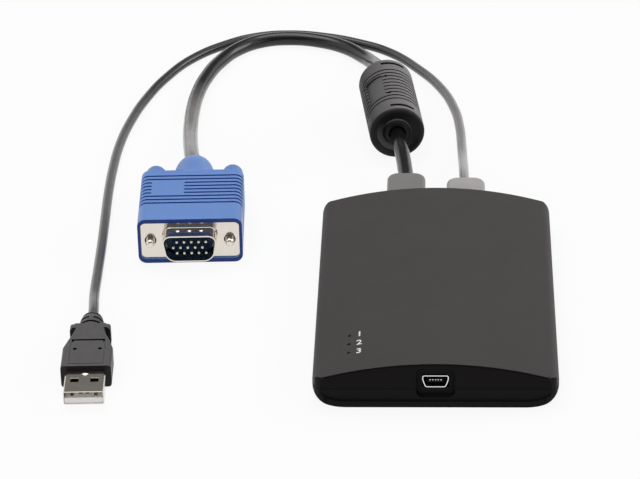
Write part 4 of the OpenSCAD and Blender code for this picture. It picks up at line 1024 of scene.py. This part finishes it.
def knob(name, x):
    place = VGA_PLUG + Vector((x, 0, 0))
    steps = [(32.5, 2.9), (32.8, 3.3), (33.6, 3.3), (40, 3.3), (43.4, 3.3)]
    steps += [*quarter(43.4, 1.7, 1.6, 1.6, 6)[1:], (45, 0.3)]
    piece = turned(name, steps, place, KNOB_SIDES)
    with Bench(piece, place) as bench:
        def in_flute(c, n):
            column = math.degrees(math.atan2(c.z, c.x)) % 360 // (360 / KNOB_SIDES)
            return column % 4 in (0, 1) and 33.7 < c.y < 40
        bench.faces(in_flute)
        bench.sink(0.35)
    soften(piece, 0.08, 1)
    turn_about(piece, VGA_PLUG, VGA_TURN)
    return piece


for side, x in (("left", -JACK_X), ("right", JACK_X)):
    screw = jackscrew(f"{side}_jackscrew_thread", x)
    dress(screw, nickel, f"{side}_screw", "nickel", f"{side}_jackscrew")
    cap = knob(f"{side}_thumb_knob", x)
    dress(cap, hood_blue, f"{side}_screw", "blue_mould", f"{side}_knob")

# The serial plug is a black moulded grip with square shoulders, a back flange and a ringed relief.
# The folded steel shell has latch windows. A white tongue fills its lower half, painted dark deep
# inside as painted shade, and carries four gold contacts.
USB_PLUG = Vector((-103, -54, 3.7))
USB_TURN = 2
GRIP_W = 15
GRIP_HALF_H = 3.7
GRIP_STEPS = ((4.8, 12.2), (2.4, 10.4), (3.5, 9), (0.001, 12.3), (2.5, 12.3))
PANEL_X = 5.0
PANEL_FRONT_Y = 13
PANEL_LINE_W = 0.25
LINE_FOOT_Y = 25.2
LINE_FRONT_Y = 26.0
LINE_BACK_Y = 26.8
LINE_END_X = 4.4
grip = start_box(
    "usb_grip_moulding", (-GRIP_W / 2, 11.75, -GRIP_HALF_H), (GRIP_W / 2, 22.75, GRIP_HALF_H),
    USB_PLUG,
)


def in_engraved_line(place):
    across = LINE_FRONT_Y < place.y < LINE_BACK_Y and abs(place.x) < PANEL_X
    down_turned = LINE_FOOT_Y < place.y < LINE_BACK_Y and LINE_END_X < abs(place.x) < PANEL_X
    return across or down_turned


def in_panel_line(place):
    sides = PANEL_FRONT_Y < place.y < LINE_FOOT_Y and PANEL_X < abs(place.x)
    across = PANEL_FRONT_Y < place.y < PANEL_FRONT_Y + PANEL_LINE_W
    return (sides or across) and abs(place.x) < PANEL_X + PANEL_LINE_W


with Bench(grip, USB_PLUG) as bench:
    bench.edges(lambda a, b: abs(a.y - b.y) > 5)
    bench.round_off(1.0, 4)
    bench.faces(lambda c, n: n.y > 0.9)
    width = GRIP_W
    for step_y, step_width in GRIP_STEPS:
        bench.push(0, step_y, 0)
        bench.resize((step_width / width, 1, 1))
        width = step_width
    line_xs = (LINE_END_X, PANEL_X, PANEL_X + PANEL_LINE_W)
    line_ys = (PANEL_FRONT_Y, PANEL_FRONT_Y + PANEL_LINE_W, LINE_FOOT_Y, LINE_FRONT_Y, LINE_BACK_Y)
    for y in line_ys:
        bench.cut((0, y, 0), (0, 1, 0))
    for x in [-x for x in line_xs[::-1]] + list(line_xs):
        bench.cut((x, 0, 0), (1, 0, 0))
    bench.faces(lambda c, n: n.z > 0.9 and in_engraved_line(c))
    bench.sink(0.8)
    bench.faces(lambda c, n: abs(n.z) > 0.9 and abs(c.z) > GRIP_HALF_H - 0.1 and in_panel_line(c))
    bench.sink(0.12)
    for up in (-1, 1):
        bench.faces(lambda c, n: n.z * up > 0.1 and c.y > 33.46 and abs(c.x) > 5)
        bench.shift(0, 0, -0.35 * up)
notches = []
for x in (-3.75, 3.75):
    bpy.ops.object.select_all(action="DESELECT")
    bpy.ops.mesh.primitive_cone_add(
        vertices=4, radius1=0.45 * MM, radius2=0.85 * MM, depth=1.6 * MM,
        location=(USB_PLUG + Vector((x, 21.4, 3.2))) * MM,
    )
    bpy.ops.object.transform_apply()
    notches.append(bpy.context.object)
combine(grip, "DIFFERENCE", notches)
BULB_START = 36
BULB_L = 8.6
BULB_END_R = 2.3
BULB_SWELL = 1.38


def bulb_radius(y):
    return BULB_END_R + BULB_SWELL * math.sqrt(max(0, 1 - ((y - BULB_START) / BULB_L) ** 2))


bulb_ys = [36, 37, 37.5, 38, 38.8, 39.5, 40, 40.5, 41.3, 42.3, 42.8, 43.3, 43.9, 44.5]
bulb = turned("bulb", [(35.4, 3.5), *[(y, bulb_radius(y)) for y in bulb_ys]], USB_PLUG, 72)
with Bench(bulb, USB_PLUG) as bench:
    def in_bulb_groove(c, n):
        lean = abs(lean_from_top(c))
        first = 37 < c.y < 38.0 and lean < 62
        second = 39.5 < c.y < 40.5 and 9 < lean < 171
        return abs(n.y) < 0.95 and (first or second or 42.3 < c.y < 43.3)
    bench.faces(in_bulb_groove)
    bench.sink(1.0)
    bench.all()
    bench.resize((1.08, 1, 1))
combine(grip, "UNION", [bulb])
soften(grip, 0.12, 2)
turn_about(grip, USB_PLUG, USB_TURN)
grip_black = moulded("grip_black_vinyl", (0.09, 0.086, 0.088), 0.42, Specular_IOR_Level=0.25)
# Painted light: the grip is painted grey on faces that look up, and near black on the rest.
painted_light_mask = grip_black.rises(grip_black.facing(2), 0.3, 0.95)
grip_lit_tone = grip_black.blend((0.09, 0.086, 0.088), (0.12, 0.115, 0.117), grip_black.noise(4 * MM, 4))
grip_black.feed("Base Color", grip_black.blend((0.007, 0.006, 0.007), grip_lit_tone, painted_light_mask))
dress(grip, grip_black, "adapter", "black_mould", "usb_plug_grip")

shell = start_box("usb_shell_folded", (-6, 0, -2.25), (6, 18.75, 2.25), USB_PLUG)
with Bench(shell, USB_PLUG) as bench:
    bench.edges(lambda a, b: abs(a.y - b.y) > 5)
    bench.round_off(0.6, 4)
    bench.faces(lambda c, n: n.y < -0.9)
    bench.inset(0.3)
    bench.push(0, 18.3, 0)
WINDOW_X = 2.93
WINDOW_HALF = 1.23
windows = []
for low_z, high_z in ((1, 3), (-3, -1.9)):
    for x in (-WINDOW_X, WINDOW_X):
        low, high = (x - WINDOW_HALF, 5.2, low_z), (x + WINDOW_HALF, 7.4, high_z)
        windows.append(start_box("window", low, high, USB_PLUG))
combine(shell, "DIFFERENCE", windows)
bpy.ops.object.select_all(action="DESELECT")
bpy.ops.mesh.primitive_uv_sphere_add(
    segments=32, ring_count=16, radius=1.3 * MM, scale=(1, 0.7, 0.5),
    location=(USB_PLUG + Vector((0, 9.3, 2.6))) * MM,
)
bpy.ops.object.transform_apply()
combine(shell, "DIFFERENCE", [bpy.context.object])
seam = start_box("seam", (-0.06, -1, -3), (0.06, 11, -2.15), USB_PLUG)
combine(shell, "DIFFERENCE", [seam])
soften(shell, 0.11, 2)
turn_about(shell, USB_PLUG, USB_TURN)
dress(shell, nickel, "adapter", "nickel", "usb_plug_shell")
TONGUE_WHITE = (0.95, 0.94, 0.92)
TONGUE_PAINTED_SHADE = (0.06, 0.055, 0.05)
SHADE_FADE_Y = (-50.5 * MM, -49.5 * MM)
tongue_white = moulded("tongue_white", TONGUE_WHITE, 0.4, mottle=0.03)
# Painted shade: the white tongue is painted near black deep inside the shell.
deep = tongue_white.rises(tongue_white.part_of(tongue_white.place, 1), *SHADE_FADE_Y)
tongue_white.feed("Base Color", tongue_white.blend(TONGUE_WHITE, TONGUE_PAINTED_SHADE, deep))
paint(["usb_plug_tongue"], tongue_white)
strips = start_box("usb_contact_strips", (-4, 1.2, -0.12), (-3, 11.7, 0.09), USB_PLUG)
with Bench(strips, USB_PLUG) as bench:
    bench.all()
    for step in (2.5, 2, 2.5):
        bench.copy_to(step, 0, 0)
    bench.faces(lambda c, n: n.y < -0.9 and abs(c.x) < 2)
    bench.shift(0, 1, 0)
soften(strips, 0.03, 1)
turn_about(strips, USB_PLUG, USB_TURN)
dress(strips, gold, "adapter", "gold", "usb_plug_contacts")

# Inside the case a green board carries the chips, the sockets of the two leads and the lamps.
# Screws hold the covers together through it.
board_green = moulded("solder_mask", (0.012, 0.07, 0.03), 0.3)
ways = {"Vector": board_green.place, "Scale": 1 / (9 * MM)}
cells = board_green.node("ShaderNodeTexVoronoi", {"distance": "CHEBYCHEV"}, ways)
rings = cells * 9
tracks = rings.maths("FRACT", rings, 0) < 0.35
copper_green = board_green.blend((0.008, 0.05, 0.022), (0.02, 0.105, 0.045), tracks)
board_green.feed("Base Color", copper_green)
paint(["main_board"], board_green)
resin = moulded("chip_resin", (0.02, 0.02, 0.022), 0.5, mottle=0.1)
paint(["video_chip", "usb_chip", "memory_chip", "flash_chip", "regulator", "chip_resistors"], resin)
ceramic = moulded("ceramic", (0.45, 0.33, 0.2), 0.5)
paint(["chip_capacitors", "power_inductor"], ceramic)
paint(["crystals", "filter_capacitors", "case_screws"], steel)
cream = moulded("cream_nylon", (0.78, 0.74, 0.62), 0.45)
paint(["vga_board_socket", "vga_lead_plug", "usb_board_socket", "usb_lead_plug"], cream)
wire_coat = moulded("wire_coat", (0.5, 0.08, 0.05), 0.4)
paint(["vga_lead_wires", "usb_lead_wires"], wire_coat)
paint(["vga_cable_ends"], cable_vinyl)
paint(["usb_cable_ends"], thin_vinyl)
grey_filler = moulded("inner_filler", (0.2, 0.2, 0.2), 0.5)
paint(["vga_inner_mould", "usb_plug_inner_mould", "ferrite_core"], grey_filler)
